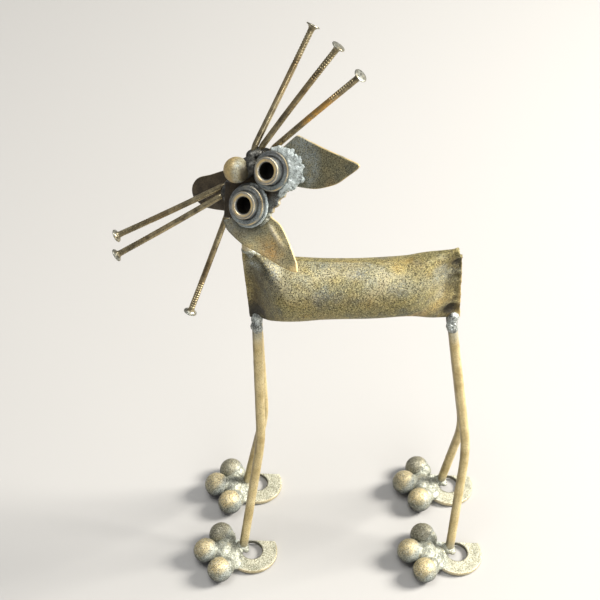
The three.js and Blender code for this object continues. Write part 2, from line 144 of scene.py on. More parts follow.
def rough(points, size, seed):
    """Noise of three octaves, from about -1 to 1."""
    return sum(value_noise(points, size / 2**n, seed + n) / 2**n for n in range(3)) / 1.6


def spline(points, steps):
    """Points along a smooth line through the given points."""
    p = [np.array(q, float) for q in points]
    out = []
    for i in range(len(p) - 1):
        a, b, c, d = p[max(i - 1, 0)], p[i], p[i + 1], p[min(i + 2, len(p) - 1)]
        for s in range(steps):
            t = s / steps
            bend = 2 * a - 5 * b + 4 * c - d
            out.append(0.5 * (2 * b + (c - a) * t + bend * t * t + (3 * b - a - 3 * c + d) * t**3))
    out.append(p[-1])
    return out


# meshes
def bm_grid(points, close_u=False):
    """A mesh from a grid of points, each row a loop; rows that shrink to a point become poles."""
    n, m = points.shape[:2]
    bm = bmesh.new()
    verts = [[bm.verts.new(points[i, j]) for j in range(m)] for i in range(n)]
    for i in range(n if close_u else n - 1):
        row, after = verts[i], verts[(i + 1) % n]
        for j in range(m):
            bm.faces.new([row[j], after[j], after[(j + 1) % m], row[(j + 1) % m]])
    bmesh.ops.remove_doubles(bm, verts=bm.verts, dist=1e-4)
    bmesh.ops.recalc_face_normals(bm, faces=bm.faces)
    return bm


def lathe(profile, sides):
    angles = np.linspace(0, 2 * math.pi, sides, endpoint=False)
    grid = np.array([[(r * math.cos(a), r * math.sin(a), z) for a in angles] for r, z in profile])
    return bm_grid(grid)


def to_mesh(bm, name):
    mesh = bpy.data.meshes.new(name)
    bm.to_mesh(mesh)
    bm.free()
    return mesh


def coords(mesh):
    co = np.empty(len(mesh.vertices) * 3)
    mesh.vertices.foreach_get("co", co)
    return co.reshape(-1, 3)


def normals(mesh):
    no = np.empty(len(mesh.vertices) * 3)
    mesh.vertices.foreach_get("normal", no)
    return no.reshape(-1, 3)


def set_coords(mesh, co):
    mesh.vertices.foreach_set("co", np.ascontiguousarray(co, dtype=float).ravel())
    mesh.update()


def move(mesh, matrix):
    m = np.array(matrix)
    set_coords(mesh, coords(mesh) @ m[:3, :3].T + m[:3, 3])


def mark(mesh, name, values):
    layer = mesh.attributes.new(name, "FLOAT", "POINT")
    layer.data.foreach_set("value", np.ascontiguousarray(values, dtype=np.float32))


def roughen(mesh, size, depth, seed):
    """Moves the surface in and out by noise of a given size and depth."""
    co = coords(mesh)
    set_coords(mesh, co + normals(mesh) * (rough(co, size, seed) * depth)[:, None])


def put(mesh, name, material, nodes, sharp=35):
    """Turns a mesh to metres, keeps it above the floor, and makes it a piece of the cat."""
    co = coords(mesh) * MM + MIDDLE
    co[:, 2] = np.maximum(co[:, 2], 0)
    set_coords(mesh, co)
    mesh.polygons.foreach_set("use_smooth", [True] * len(mesh.polygons))
    mesh.set_sharp_from_angle(angle=math.radians(sharp))
    mesh.materials.append(material)
    piece = bpy.data.objects.new(name, mesh)
    scene.collection.objects.link(piece)
    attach(piece, "root")
    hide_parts(*nodes)


# patina
def patina(
    name, tones, blotch, speck, dark, metallic, roughness, bump, top=None, cover=0.5, seed=0.0, fleck=None
):
    """Aged metal: blotches of tones, dark specks, pale flecks and a grain; top colours what faces up."""
    material = bpy.data.materials.new(name)
    material.use_nodes = True
    tree = material.node_tree
    nodes, link = tree.nodes, tree.links.new
    shader = nodes["Principled BSDF"]
    place = nodes.new("ShaderNodeTexCoord").outputs["Object"]

    def noise(size, detail, shift, wrinkle=0.5):
        node = nodes.new("ShaderNodeTexNoise")
        node.noise_dimensions = "4D"
        node.inputs["W"].default_value = seed + shift
        node.inputs["Scale"].default_value = 1 / (size * MM)
        node.inputs["Detail"].default_value = detail
        node.inputs["Roughness"].default_value = wrinkle
        link(place, node.inputs["Vector"])
        return node.outputs["Fac"]

    def ramp(value, stops):
        node = nodes.new("ShaderNodeValToRGB")
        points = node.color_ramp.elements
        while len(points) < len(stops):
            points.new(0.5)
        for point, (at, colour) in zip(points, stops):
            point.position = at
            point.color = (*colour, 1)
        link(value, node.inputs["Fac"])
        return node.outputs["Color"]

    def steps(value, low, high, most=1.0):
        return ramp(value, [(low, (0, 0, 0)), (high, (most,) * 3)])

    def maths(kind, a, b):
        node = nodes.new("ShaderNodeMath")
        node.operation = kind
        for socket, value in zip(node.inputs, (a, b)):
            if isinstance(value, (int, float)):
                socket.default_value = value
            else:
                link(value, socket)
        return node.outputs[0]

    def mix(a, b, amount):
        node = nodes.new("ShaderNodeMix")
        node.data_type = "RGBA"
        for socket, value in (("A", a), ("B", b)):
            target = [s for s in node.inputs if s.name == socket and s.type == "RGBA"][0]
            if isinstance(value, tuple):
                target.default_value = (*value, 1)
            else:
                link(value, target)
        factor = [s for s in node.inputs if s.name == "Factor" and s.type == "VALUE"][0]
        link(amount, factor)
        return [s for s in node.outputs if s.type == "RGBA"][0]

    def attribute(key):
        node = nodes.new("ShaderNodeAttribute")
        node.attribute_name = key
        return node.outputs["Fac"]

    stops = [(0.36 + 0.28 * i / (len(tones) - 1), tone) for i, tone in enumerate(tones)]
    colour = ramp(noise(blotch, 5, 0, 0.6), stops)
    cloud = noise(blotch * 0.7, 4, 7, 0.6)
    colour = mix(colour, RUST, maths("MULTIPLY", attribute("rust"), steps(cloud, 0.3, 0.6)))
    colour = mix(colour, SILVER, maths("MULTIPLY", attribute("silver"), steps(cloud, 0.25, 0.55)))
    if top is not None:
        facing = nodes.new("ShaderNodeSeparateXYZ")
        link(nodes.new("ShaderNodeNewGeometry").outputs["Normal"], facing.inputs[0])
        upward = maths("MULTIPLY", facing.outputs["Z"], 0.4)
        up = maths("ADD", upward, maths("MULTIPLY", noise(blotch * 0.6, 4, 5), 0.6))
        colour = mix(colour, top, maths("MULTIPLY", attribute("gilt"), steps(up, 0.38, 0.62)))
    specks = ramp(noise(speck, 3, 2, 0.7), [(cover - 0.07, (1, 1, 1)), (cover + 0.05, (0, 0, 0))])
    colour = mix(colour, dark, specks)
    if fleck is not None:
        colour = mix(colour, fleck, steps(noise(speck * 1.1, 3, 9, 0.7), 0.54, 0.66, 0.85))
    # gold where edges are rubbed, and as a painted highlight on the left ear's crease and tip
    colour = mix(colour, GOLD_EDGE, attribute("wear_and_highlight"))
    # near-black where grime lies, and as painted shade in hollows, bores, undersides and sides turned from
    # the light
    colour = mix(colour, GRIME_AND_SHADE, attribute("grime_and_shade"))
    link(colour, shader.inputs["Base Color"])
    shader.inputs["Metallic"].default_value = metallic
    shine = ramp(noise(speck * 2.5, 3, 3), [(0.3, (roughness - 0.1,) * 3), (0.7, (roughness + 0.12,) * 3)])
    link(shine, shader.inputs["Roughness"])
    relief = nodes.new("ShaderNodeBump")
    relief.inputs["Strength"].default_value = bump
    relief.inputs["Distance"].default_value = 0.3 * MM
    link(noise(speck * 1.4, 4, 4, 0.65), relief.inputs["Height"])
    link(relief.outputs["Normal"], shader.inputs["Normal"])
    return material


GOLD_EDGE = (0.84, 0.62, 0.27)
GRIME_AND_SHADE = (0.016, 0.013, 0.009)
SILVER = (0.49, 0.55, 0.53)
RUST = (0.6, 0.34, 0.09)

tube_metal = patina(
    "tube_metal", [(0.15, 0.155, 0.11), (0.26, 0.23, 0.1), (0.35, 0.295, 0.115), (0.35, 0.265, 0.085)],
    blotch=16, speck=0.6, dark=(0.045, 0.036, 0.014), metallic=0.35, roughness=0.56, bump=0.5,
    cover=0.49, fleck=(0.76, 0.66, 0.33),
)
rod_metal = patina(
    "rod_metal", [(0.46, 0.34, 0.14), (0.66, 0.53, 0.26), (0.76, 0.63, 0.34)],
    blotch=14, speck=0.5, dark=(0.17, 0.12, 0.05), metallic=0.35, roughness=0.45, bump=0.4, cover=0.43,
    seed=1.7,
)
washer_metal = patina(
    "washer_metal", [(0.3, 0.3, 0.22), (0.5, 0.485, 0.36), (0.64, 0.61, 0.46)],
    blotch=8, speck=0.65, dark=(0.13, 0.12, 0.07), metallic=0.3, roughness=0.5, bump=0.6, cover=0.48,
    seed=3.1, fleck=(0.9, 0.88, 0.73),
)
ball_metal = patina(
    "ball_metal", [(0.14, 0.15, 0.12), (0.26, 0.265, 0.2), (0.38, 0.36, 0.25)],
    blotch=8, speck=0.6, dark=(0.075, 0.072, 0.05), metallic=0.4, roughness=0.5, bump=0.9, cover=0.48,
    seed=4.3, top=(0.72, 0.58, 0.3), fleck=(0.82, 0.8, 0.64),
)
weld_metal = patina(
    "weld_metal", [(0.13, 0.135, 0.105), (0.28, 0.285, 0.22), (0.42, 0.43, 0.34), (0.46, 0.42, 0.28)],
    blotch=6, speck=0.5, dark=(0.07, 0.07, 0.05), metallic=0.35, roughness=0.46, bump=0.8, cover=0.48,
    seed=6.9, fleck=(0.78, 0.8, 0.7),
)
crust_metal = patina(
    "crust_metal", [(0.24, 0.26, 0.23), (0.62, 0.68, 0.63), (0.88, 0.94, 0.88)],
    blotch=4, speck=0.6, dark=(0.08, 0.08, 0.07), metallic=0.3, roughness=0.42, bump=0.7, cover=0.42,
    seed=5.6, fleck=(0.93, 0.97, 0.94),
)
hip_metal = patina(
    "hip_metal", [(0.13, 0.13, 0.11), (0.38, 0.4, 0.36), (0.66, 0.7, 0.64)],
    blotch=5, speck=0.6, dark=(0.05, 0.05, 0.045), metallic=0.4, roughness=0.42, bump=0.8, cover=0.47,
    seed=6.1, fleck=(0.8, 0.85, 0.82),
)
# a near-black weld: partly its own dark metal, partly painted shade of the gaps between the head's parts
shade_dark_weld = patina(
    "shade_dark_weld", [(0.03, 0.03, 0.028), (0.075, 0.073, 0.062), (0.15, 0.15, 0.135)],
    blotch=4, speck=0.6, dark=(0.02, 0.018, 0.014), metallic=0.65, roughness=0.36, bump=0.4, cover=0.44,
    seed=7.7,
)
# a dark brown plate: partly its own patina, partly painted shade of the jaw turned from the light
plate_patina_and_shade = patina(
    "plate_patina_and_shade", [(0.035, 0.025, 0.014), (0.075, 0.055, 0.03), (0.12, 0.09, 0.05)],
    blotch=6, speck=0.6, dark=(0.018, 0.014, 0.008), metallic=0.55, roughness=0.48, bump=0.4,
    cover=0.46, seed=8.2,
)
# a darker copy of the ear metal: painted shade for the far ear, turned from the light
shaded_leaf = patina(
    "shaded_leaf", [(0.15, 0.15, 0.105), (0.21, 0.195, 0.115), (0.27, 0.235, 0.125)],
    blotch=8, speck=0.6, dark=(0.065, 0.06, 0.035), metallic=0.5, roughness=0.46, bump=0.4, cover=0.48,
    seed=9.4, fleck=(0.52, 0.45, 0.24),
)
gold_leaf = patina(
    "gold_leaf", [(0.2, 0.195, 0.13), (0.34, 0.3, 0.16), (0.45, 0.35, 0.15)],
    blotch=8, speck=0.55, dark=(0.075, 0.06, 0.03), metallic=0.4, roughness=0.5, bump=0.4, cover=0.47,
    seed=11.2, fleck=(0.58, 0.5, 0.28),
)
flange_metal = patina(
    "flange_metal", [(0.14, 0.15, 0.15), (0.25, 0.26, 0.25), (0.36, 0.35, 0.28)],
    blotch=5, speck=0.5, dark=(0.03, 0.03, 0.028), metallic=0.65, roughness=0.36, bump=0.35, cover=0.44,
    seed=13.7, fleck=(0.42, 0.42, 0.38),
)
sleeve_metal = patina(
    "sleeve_metal", [(0.26, 0.28, 0.29), (0.44, 0.46, 0.45), (0.56, 0.52, 0.4)],
    blotch=5, speck=0.5, dark=(0.08, 0.075, 0.06), metallic=0.65, roughness=0.34, bump=0.3, cover=0.38,
    seed=15.1,
)
nail_metal = patina(
    "nail_metal", [(0.15, 0.12, 0.07), (0.3, 0.245, 0.14), (0.44, 0.37, 0.22)],
    blotch=6, speck=0.6, dark=(0.05, 0.038, 0.022), metallic=0.8, roughness=0.3, bump=0.25, cover=0.4,
    seed=17.6,
)


# body
# sections keep the tube's girth: the sum of their half sizes, each to this power, stays the same
GIRTH = math.log(2) / math.log(math.pi / 2)


def tube_section(from_end, pinch):
    """How open and how round the tube is at a distance from its end, and its half width and half height."""
    opening = min(max((from_end - BODY_LIP) / pinch, 0), 1)
    roundness = math.sin(math.pi / 2 * opening**PINCH_CURVE)
    half_width = BODY_WALL + (BODY_RADIUS - BODY_WALL) * roundness
    half_height = (2 * BODY_RADIUS**GIRTH - half_width**GIRTH) ** (1 / GIRTH)
    return opening, roundness, half_width, half_height


def flat_ring(half_width, half_height, power, count):
    """Points evenly spaced round a section that is round at power 2 and flatter-sided above it."""
    angles = np.linspace(0, 2 * math.pi, 1440, endpoint=False)
    c, s = np.cos(angles), np.sin(angles)
    y = half_width * np.sign(c) * np.abs(c) ** (2 / power)
    z = half_height * np.sign(s) * np.abs(s) ** (2 / power)
    step = np.hypot(np.diff(y, append=y[0]), np.diff(z, append=z[0]))
    length = np.concatenate([[0], np.cumsum(step)])
    want = np.linspace(0, length[-1], count, endpoint=False)
    return np.interp(want, length, np.append(y, y[0])), np.interp(want, length, np.append(z, z[0]))


# crimps of the rear lip: distance in from it, height on the body, size, and depth away from the near side
CRIMPS = [
    (0, 24.0, 2.4, -1.2), (2, 17.5, 3.4, 2.6), (1, 10.8, 1.9, -0.6), (2, 6.4, 2.3, 1.3),
    (1, 2.2, 1.8, -0.5), (2, -2.2, 2.4, 0.9), (1, -6.4, 1.8, -0.5), (2, -10.6, 2.1, 1.1),
    (1, -14.0, 1.8, -0.6), (4, -19.8, 3.6, 2.8),
]
# bites and hollows in the walls: distance in from the end, height on the body, size and depth
REAR_BITES = [
    (1.6, 22.0, 2.0, 1.2), (4.2, 15.5, 3.0, 1.9), (2.6, 7.6, 2.0, 1.3), (2.0, 1.4, 1.7, 1.2),
    (2.6, -5.0, 2.2, 1.4), (2.0, -11.2, 1.8, 1.2), (4.6, -18.5, 3.6, 2.2),
    (10.0, 11.0, 5.5, 2.2), (11.0, 1.0, 5.0, 1.2), (9.5, -19.0, 5.0, 1.8),
]
FRONT_BITES = [(7.5, 14.0, 4.5, 1.2), (7.0, -4.0, 5.0, 1.3), (6.0, -19.0, 4.0, 1.0)]
# hollows of the rear lip, painted with shade: distance in from it, height on the body and size
HOLLOWS = [(4.6, 14.5, 2.6), (4.0, 7.4, 2.2), (3.6, 1.2, 1.6), (3.4, -5.0, 1.8), (3.2, -11.0, 1.5)]


def crimped(from_rear, height):
    total = 0
    for back, middle, size, depth in CRIMPS:
        total = total + depth * dent(from_rear - back, 1.7 * size, height - middle, size)
    return total


def body():
    around = 176
    half = BODY_LENGTH / 2
    # from the slot between the walls, over the lip and along the outside
    lip = [
        (4.0, 0.1), (3.0, 0.16), (1.2, 0.2), (0.45, 0.3),
        (0.12, 0.55), (0.0, 0.85), (0.12, 1.2), (0.4, 1.42),
    ]
    plain = half - 0.7
    rows = [(-half + back, width, True) for back, width in lip]
    for t in np.linspace(0, 1, 170):
        x = -math.cos(math.pi * t) * 0.45 * plain + (2 * t - 1) * 0.55 * plain
        rows.append((x, 0, False))
    rows += [(half - back, width, True) for back, width in reversed(lip)]
    rings, bulges = [], []
    for x, width, is_lip in rows:
        pinch = REAR_PINCH if x > 0 else FRONT_PINCH
        opening, roundness, half_width, half_height = tube_section(half - abs(x), pinch)
        if is_lip:
            half_height -= BODY_WALL - width
            half_width = width
        power = 2 + 3.2 * (1 - opening) ** 2
        y, z = flat_ring(half_width, half_height, power, around)
        rings.append(np.stack([np.full(around, x), y, z], 1))
        bulge = FRONT_BULGE + (REAR_BULGE - FRONT_BULGE) * (x / half + 1) / 2
        bulges.append(bulge * (roundness if x < 0 else smooth(max(half - x - BODY_LIP, 0) / 58)))
    grid = np.array(rings)
    flat = grid.reshape(-1, 3).copy()
    x, y, z = flat.T
    side = np.sign(y) * smooth(np.abs(y) / 1.0)
    from_rear = half - x
    from_front = half + x
    # a row of bites along the rear lip and broad hollows behind them
    inward = np.zeros(len(flat))
    for back, height, size, depth in REAR_BITES:
        inward += depth * dent(from_rear - back, size, z - height, size)
    for back, height, size, depth in FRONT_BITES:
        inward += depth * dent(from_front - back, size, z - height, 2.2 * size)
    room = np.maximum(np.abs(y) - 0.35, 0)
    flat[:, 1] -= side * np.minimum(inward, room * 0.75)
    # both walls of the rear lip wave in and out together
    flat[:, 1] += crimped(from_rear, z)
    # ridges between the bites stand a little proud of the near wall
    ridge = np.maximum(np.cos((z - 4.4) * 2 * math.pi / 6.3), 0) * peak(from_rear, 2.6, 2.6)
    flat[:, 1] -= 0.55 * ridge * (y < -0.5)
    ragged = rough(np.stack([z, z * 0, z * 0], 1), 5, 40)
    flat[:, 0] -= np.where(from_rear < 5, (1 - from_rear / 5) * np.abs(0.7 * ragged + 0.12 * np.cos(z)), 0)
    flat[:, 0] += np.where(from_front < 5, (1 - from_front / 5) * np.abs(0.3 * ragged), 0)
    # the top corner at the rear is cut back in a notch, and its two walls part there
    notch = smooth((z - 22.5) / 3.0) * fade(from_rear, 6)
    flat[:, 0] -= 1.6 * notch * (z - 22.5) / 4.0
    parting = smooth((z - 16) / 8) * fade(from_rear, 8)
    flat[:, 1] += parting * np.where(y > 0, 1.3, -0.9)
    flat[:, 1] -= np.repeat(bulges, around)
    flat[:, 0] -= flat[:, 2] * BODY_LEAN
    # long shallow unevenness of the sheet
    whole = (smooth(from_rear / 6) * smooth(from_front / 6))[:, None]
    radial = grid.reshape(-1, 3) * np.array([0, 1, 1])
    radial /= np.maximum(np.linalg.norm(radial, axis=1), 1e-6)[:, None]
    swell = 1.3 * bell(from_front - 26, 15) + 0.5 * smooth(from_front / 30) * smooth(from_rear / 30)
    uneven = 0.32 * rough(flat, 26, 50) + 0.05 * rough(flat, 1.6, 60) - 0.3 + swell
    flat += radial * whole * uneven[:, None]
    # the top seam falls off a little before the rear lip
    flat[:, 2] -= 1.2 * bell(from_rear - 13, 8) * smooth((z - 8) / 10)
    flat[:, 2] += BODY_HEIGHT
    mesh = to_mesh(bm_grid(flat.reshape(grid.shape)), "body_tube_shell")
    co = coords(mesh)
    from_rear, from_front = half - co[:, 0], half + co[:, 0]
    high = co[:, 2] - BODY_HEIGHT
    near = co[:, 1] < -0.3
    lip_wear = np.maximum(fade(from_rear, 2.2), fade(from_front, 1.0) * 0.35)
    seams = fade(from_rear, 14) * bell(high - 20 - (from_rear - 4) * -0.35, 1.6) * near
    mark(mesh, "wear_and_highlight", np.clip(lip_wear * (0.5 + 0.5 * rough(co, 3, 70)) + seams * 0.5, 0, 1))
    patch = smooth((rough(co, 9, 75) + 0.15) / 0.5)
    orange = peak(from_rear, 30, 24) * smooth((-high - 3) / 9) * near * 0.55
    orange += fade(from_rear, 8) * smooth((high - 14) / 8) * 0.6 + 0.14
    mark(mesh, "rust", np.clip(orange, 0, 1) * patch)
    # a painted highlight on the front top corner, and painted shade across the front end, along the bottom,
    # beside the rear lip and in its crimps and hollows
    corner = spot(from_front - 6, high - 20, 6)
    body_shade = peak(from_front, 7, 13) * 0.75 * (1 - corner) + peak(from_rear, 8, 7) * 0.3
    body_shade += smooth((-high - 8) / 10) * 0.4 + spot(from_rear - 4, high - 17.5, 5) * 0.7
    body_shade += spot(from_rear - 5, high + 19.5, 5) * 0.9 + 0.15 * np.maximum(crimped(from_rear, high), 0)
    for back, height, size in HOLLOWS:
        body_shade += 0.4 * dent(from_rear - back, size, high - height, size)
    mark(mesh, "grime_and_shade", np.clip(body_shade * (0.75 + 0.5 * rough(co, 5, 80)), 0, 0.9))
    # silver along the top, partly bluish patina and partly a painted sheen, and over the painted corner
    # highlight
    blue_and_sheen = smooth((high - 2) / 12) * 0.75 + peak(from_rear, 12, 9) * smooth((high + 8) / 6) * 0.8
    blue_and_sheen = blue_and_sheen * smooth((rough(co, 14, 85) + 0.35) / 0.6) * 0.38 + corner
    mark(mesh, "silver", np.clip(blue_and_sheen * near, 0, 1))
    put(mesh, "body_tube_shell", tube_metal, ["body_tube"])


body()


# rods
def sweep(line, radius, sides=28):
    """A round bar along a line of points, with rounded end edges."""
    line = [np.array(p, float) for p in line]
    inner = [line[i + 1] - line[i - 1] for i in range(1, len(line) - 1)]
    tangents = [t / np.linalg.norm(t) for t in (line[1] - line[0], *inner, line[-1] - line[-2])]
    across = np.cross(tangents[0], [0, 1, 0])
    across /= np.linalg.norm(across)
    angles = np.linspace(0, 2 * math.pi, sides, endpoint=False)
    rows = []

    def ring(centre, tangent, size):
        other = np.cross(tangent, across)
        rows.append([centre + size * (math.cos(a) * across + math.sin(a) * other) for a in angles])

    ends = [(0.0, 0.0), (0.0, radius - 0.4), (0.12, radius - 0.12), (0.4, radius)]
    for back, size in ends:
        ring(line[0] + tangents[0] * back, tangents[0], size)
    for i in range(1, len(line) - 1):
        across = across - np.dot(across, tangents[i]) * tangents[i]
        across /= np.linalg.norm(across)
        ring(line[i], tangents[i], radius)
    for back, size in reversed(ends):
        ring(line[-1] - tangents[-1] * back, tangents[-1], size)
    return to_mesh(bm_grid(np.array(rows)), "bar")


def bent_line(start, corner, end, bend):
    """Points along a bar from start to end, its corner rounded over a length of bend on each side."""
    start, corner, end = (np.array(p, float) for p in (start, corner, end))
    before = corner + (start - corner) / np.linalg.norm(start - corner) * bend
    after = corner + (end - corner) / np.linalg.norm(end - corner) * bend
    first = [start + (before - start) * t for t in np.linspace(0, 1, 34, endpoint=False)]
    curve = []
    for t in np.linspace(0, 1, 18):
        curve.append(before * (1 - t) ** 2 + 2 * corner * t * (1 - t) + after * t * t)
    last = [after + (end - after) * t for t in np.linspace(0, 1, 34)[1:]]
    return first + curve + last


HIP_SPREAD = 3.4
HIP_DROP = 4.0
HIPS = {}
for end, sign, inset, pinch in (("front", -1, 4.3, FRONT_PINCH), ("rear", 1, 4.9, REAR_PINCH)):
    edge = tube_section(inset, pinch)[3]
    HIPS[end] = (sign * (BODY_LENGTH / 2 - inset) + edge * BODY_LEAN, BODY_HEIGHT - edge - HIP_DROP)
plate_lift = WASHER[0] * math.sin(PLATE_TILT)
plate_top = plate_lift + WASHER[2] / math.cos(PLATE_TILT)
toe_height = BALL * math.cos(GROUND_ANGLE)


def half_moon():
    """The washer cut straight beside its hole, about the hole's middle, with rounded edges."""
    outer, hole, thick, cut = WASHER
    edge = math.asin(cut / outer)
    turns = np.linspace(-math.pi, math.pi, 216, endpoint=False)
    soft = 0.5

    def rounded(r, z, wide, start):
        quarter = [math.radians(b) for b in np.linspace(start, start + 90, 4)]
        return [(r + wide * math.cos(b), z + soft * math.sin(b)) for b in quarter]

    rows = []
    for a in np.unique([*turns, edge, math.pi - edge]):
        reach = min(outer, cut / math.sin(a)) if math.sin(a) > 0 else outer
        rim = reach - soft
        inner = hole + min(soft, (reach - hole) * 0.3)
        section = rounded(rim, soft, soft, -90) + rounded(rim, thick - soft, soft, 0)
        section += [(rim + (inner - reach + soft) * t, thick) for t in np.linspace(0, 1, 12)[1:-1]]
        section += rounded(inner, thick - soft, inner - hole, 90) + rounded(inner, soft, inner - hole, 180)
        section += [(inner + (rim - inner) * t, 0) for t in np.linspace(0, 1, 6)[1:-1]]
        rows.append([(r * math.cos(a), r * math.sin(a), z) for r, z in section])
    return to_mesh(bm_grid(np.array(rows), close_u=True), "half_moon")


def ball_mesh(radius, seed):
    profile = [(0, -radius * math.cos(GROUND_ANGLE))]
    for a in np.linspace(GROUND_ANGLE, math.pi, 40):
        profile.append((radius * math.sin(a) if a < math.pi - 1e-6 else 0, -radius * math.cos(a)))
    mesh = to_mesh(lathe(profile, 72), "ball")
    co = coords(mesh)
    out = co / np.maximum(np.linalg.norm(co, axis=1), 1e-6)[:, None]
    # hammered and spattered skin, all of it inward
    marks = 0.07 * np.clip(rough(co, 2.4, seed), -1, 1) + 0.05 * rough(co, 0.9, seed + 5) - 0.1
    marks -= 0.22 * smooth((value_noise(co, 3.1, seed + 9) - 0.55) / 0.4)
    marks[co[:, 2] < -radius * 0.95] = 0
    set_coords(mesh, co + out * marks[:, None])
    return mesh


def blob(lumps, voxel, settle):
    """One closed skin over lumps, each a centre, three half sizes and perhaps a turn about z in degrees."""
    bm = bmesh.new()
    for centre, size, *turn in lumps:
        spin = Matrix.Rotation(math.radians(turn[0]), 4, "Z") if turn else Matrix.Identity(4)
        matrix = Matrix.Translation(centre) @ spin @ Matrix.Diagonal((*size, 1))
        bmesh.ops.create_icosphere(bm, subdivisions=4, radius=1, matrix=matrix)
    holder = bpy.data.objects.new("blob", to_mesh(bm, "blob"))
    scene.collection.objects.link(holder)
    remesh = holder.modifiers.new("skin", "REMESH")
    remesh.mode = "VOXEL"
    remesh.voxel_size = voxel
    even = holder.modifiers.new("even", "SMOOTH")
    even.factor = 0.5
    even.iterations = settle
    graph = bpy.context.evaluated_depsgraph_get()
    mesh = bpy.data.meshes.new_from_object(holder.evaluated_get(graph))
    bpy.data.objects.remove(holder)
    return mesh


def bead(name, lumps, nodes, seed, voxel=0.45, settle=6, ripple=0.3, pits=0.0, matrix=None, material=None):
    """A weld: a skin over lumps, with ripples and pores."""
    mesh = blob(lumps, voxel, settle)
    co = coords(mesh)
    out = normals(mesh)
    amount = ripple * rough(co, 2.2, seed) + 0.35 * ripple * rough(co, 0.9, seed + 3)
    if pits:
        amount -= pits * smooth((value_noise(co, 1.7, seed + 7) - 0.42) / 0.3)
    set_coords(mesh, co + out * amount[:, None])
    # darker in the pits and dips of the ripples
    mark(mesh, "grime_and_shade", np.clip(smooth((-amount - ripple * 0.3) / (ripple + pits)) * 0.8, 0, 1))
    if matrix is not None:
        move(mesh, matrix)
    put(mesh, name, material or weld_metal, nodes, sharp=80)


for index, (name, (side, knee, ankle, washer, toes)) in enumerate(LEGS.items()):
    hip_x, hip_z = HIPS[name.split("_")[0]]
    ankle_x = hip_x + ankle[0]
    plate_x = ankle_x + washer[0]
    ankle_y = side * ankle[1]
    plate_y = ankle_y + washer[1]
    seed = 100 + 20 * index
    mesh = half_moon()
    co = coords(mesh)
    radius = np.hypot(co[:, 0], co[:, 1])
    mark(mesh, "wear_and_highlight", smooth((radius - WASHER[0] + 0.8) / 0.8) * 0.3)
    # painted shade round the inside edge of the hole
    mark(mesh, "grime_and_shade", smooth((WASHER[1] + 0.9 - radius) / 0.8) * 0.7)
    mark(mesh, "silver", smooth((-co[:, 0] - 4) / 6) * 0.8)
    roughen(mesh, 2.0, 0.06, seed)
    pose = Matrix.Translation((plate_x, plate_y, plate_lift)) @ Matrix.Rotation(PLATE_TILT, 4, "Y")
    move(mesh, pose)
    put(mesh, "foot_plate_metal_" + name, washer_metal, ["foot_plate_" + name])

    foot_end = (ankle_x, ankle_y, plate_top + GAP + (washer[0] * math.tan(PLATE_TILT) + ROD) / 2)
    start = (hip_x, side * HIP_SPREAD, hip_z)
    mesh = sweep(bent_line(start, (hip_x + knee[0], side * knee[1], knee[2]), foot_end, KNEE_BEND), ROD)
    roughen(mesh, 5.0, 0.09, seed + 1)
    co = coords(mesh)
    near_weld = np.maximum(fade(co[:, 2] - plate_top, 14), smooth((co[:, 2] - hip_z + 16) / 12))
    # painted shade down the side of the bar that faces away from the key light; a little darker near the
    # welds
    shaded = smooth((-normals(mesh)[:, 0] - 0.35) / 0.5) * 0.6
    mark(mesh, "grime_and_shade", (near_weld * 0.3 + shaded) * (0.7 + 0.5 * rough(co, 4, seed + 2)).clip(0, 1))
    mark(mesh, "silver", near_weld * 0.5)
    put(mesh, "leg_bar_" + name, rod_metal, ["leg_" + name])

    cx, cy = plate_x + toes[0], plate_y + toes[1]
    lumps = []
    for aside, x, lift, gilt, ball_shade in TOES:
        label = "_middle" if aside == 0 else ("_outer" if aside * side > 0 else "_inner")
        centre = np.array([cx + x, cy + aside * TOE_SPREAD, toe_height + lift])
        mesh = ball_mesh(BALL, seed + 7 + aside)
        move(mesh, Matrix.Rotation(0.6 * aside + index, 4, "Z"))
        co = coords(mesh)
        # gilt on the near ball's crown, burnt silver towards the weld, painted shade below and over the far
        # ball
        burnt = smooth((co[:, 0] - 0.5 * co[:, 2] - 0.5 * co[:, 1] + (1.5 if aside == 0 else 0)) / 6)
        mark(mesh, "gilt", gilt * (1 - 0.85 * burnt))
        mark(mesh, "silver", burnt * 0.85)
        mark(mesh, "grime_and_shade", np.minimum(smooth((2.4 - co[:, 2]) / 7) * 0.85 + ball_shade, 0.95))
        move(mesh, Matrix.Translation(centre))
        put(mesh, "toe_ball_" + name + label, ball_metal, ["toe_" + name + label])
        lumps.append((centre + np.array([3.6, -2.6 * aside, -0.4]), (BALL - 2.0,) * 3))
    lumps += [
        ((cx + 4.6, cy, toe_height - 0.4), (7.4, 9.4, 6.6)),
        ((cx + 10.0, cy - 0.6, 5.4), (7.2, 9.4, 4.4)),
        ((cx + 12.6, cy - 5.0, 4.4), (5.8, 7.0, 2.3)),
        ((cx + 13.6, cy + 3.6, 4.6), (5.4, 4.6, 2.4)),
    ]
    bead("toe_bead_" + name, lumps, ["toe_weld_" + name], seed + 11, voxel=0.5, settle=12, pits=0.3)
    ax, ay = ankle_x - 0.5, ankle_y - 0.8
    lumps = [
        ((ax, ay, plate_top + 0.7), (4.4, 4.2, 2.3)),
        ((ax - 1.6, ay + 0.8, plate_top + 1.2), (3.4, 3.4, 2.6)),
        ((ax + 2.2, ay - 2.4, plate_top + 0.4), (2.4, 2.2, 1.6)),
        ((ax - 3.4, ay - 1.0, plate_top), (2.6, 2.6, 1.6)),
    ]
    bead("ankle_bead_" + name, lumps, ["ankle_weld_" + name], seed + 15, voxel=0.35, settle=4, pits=0.25)

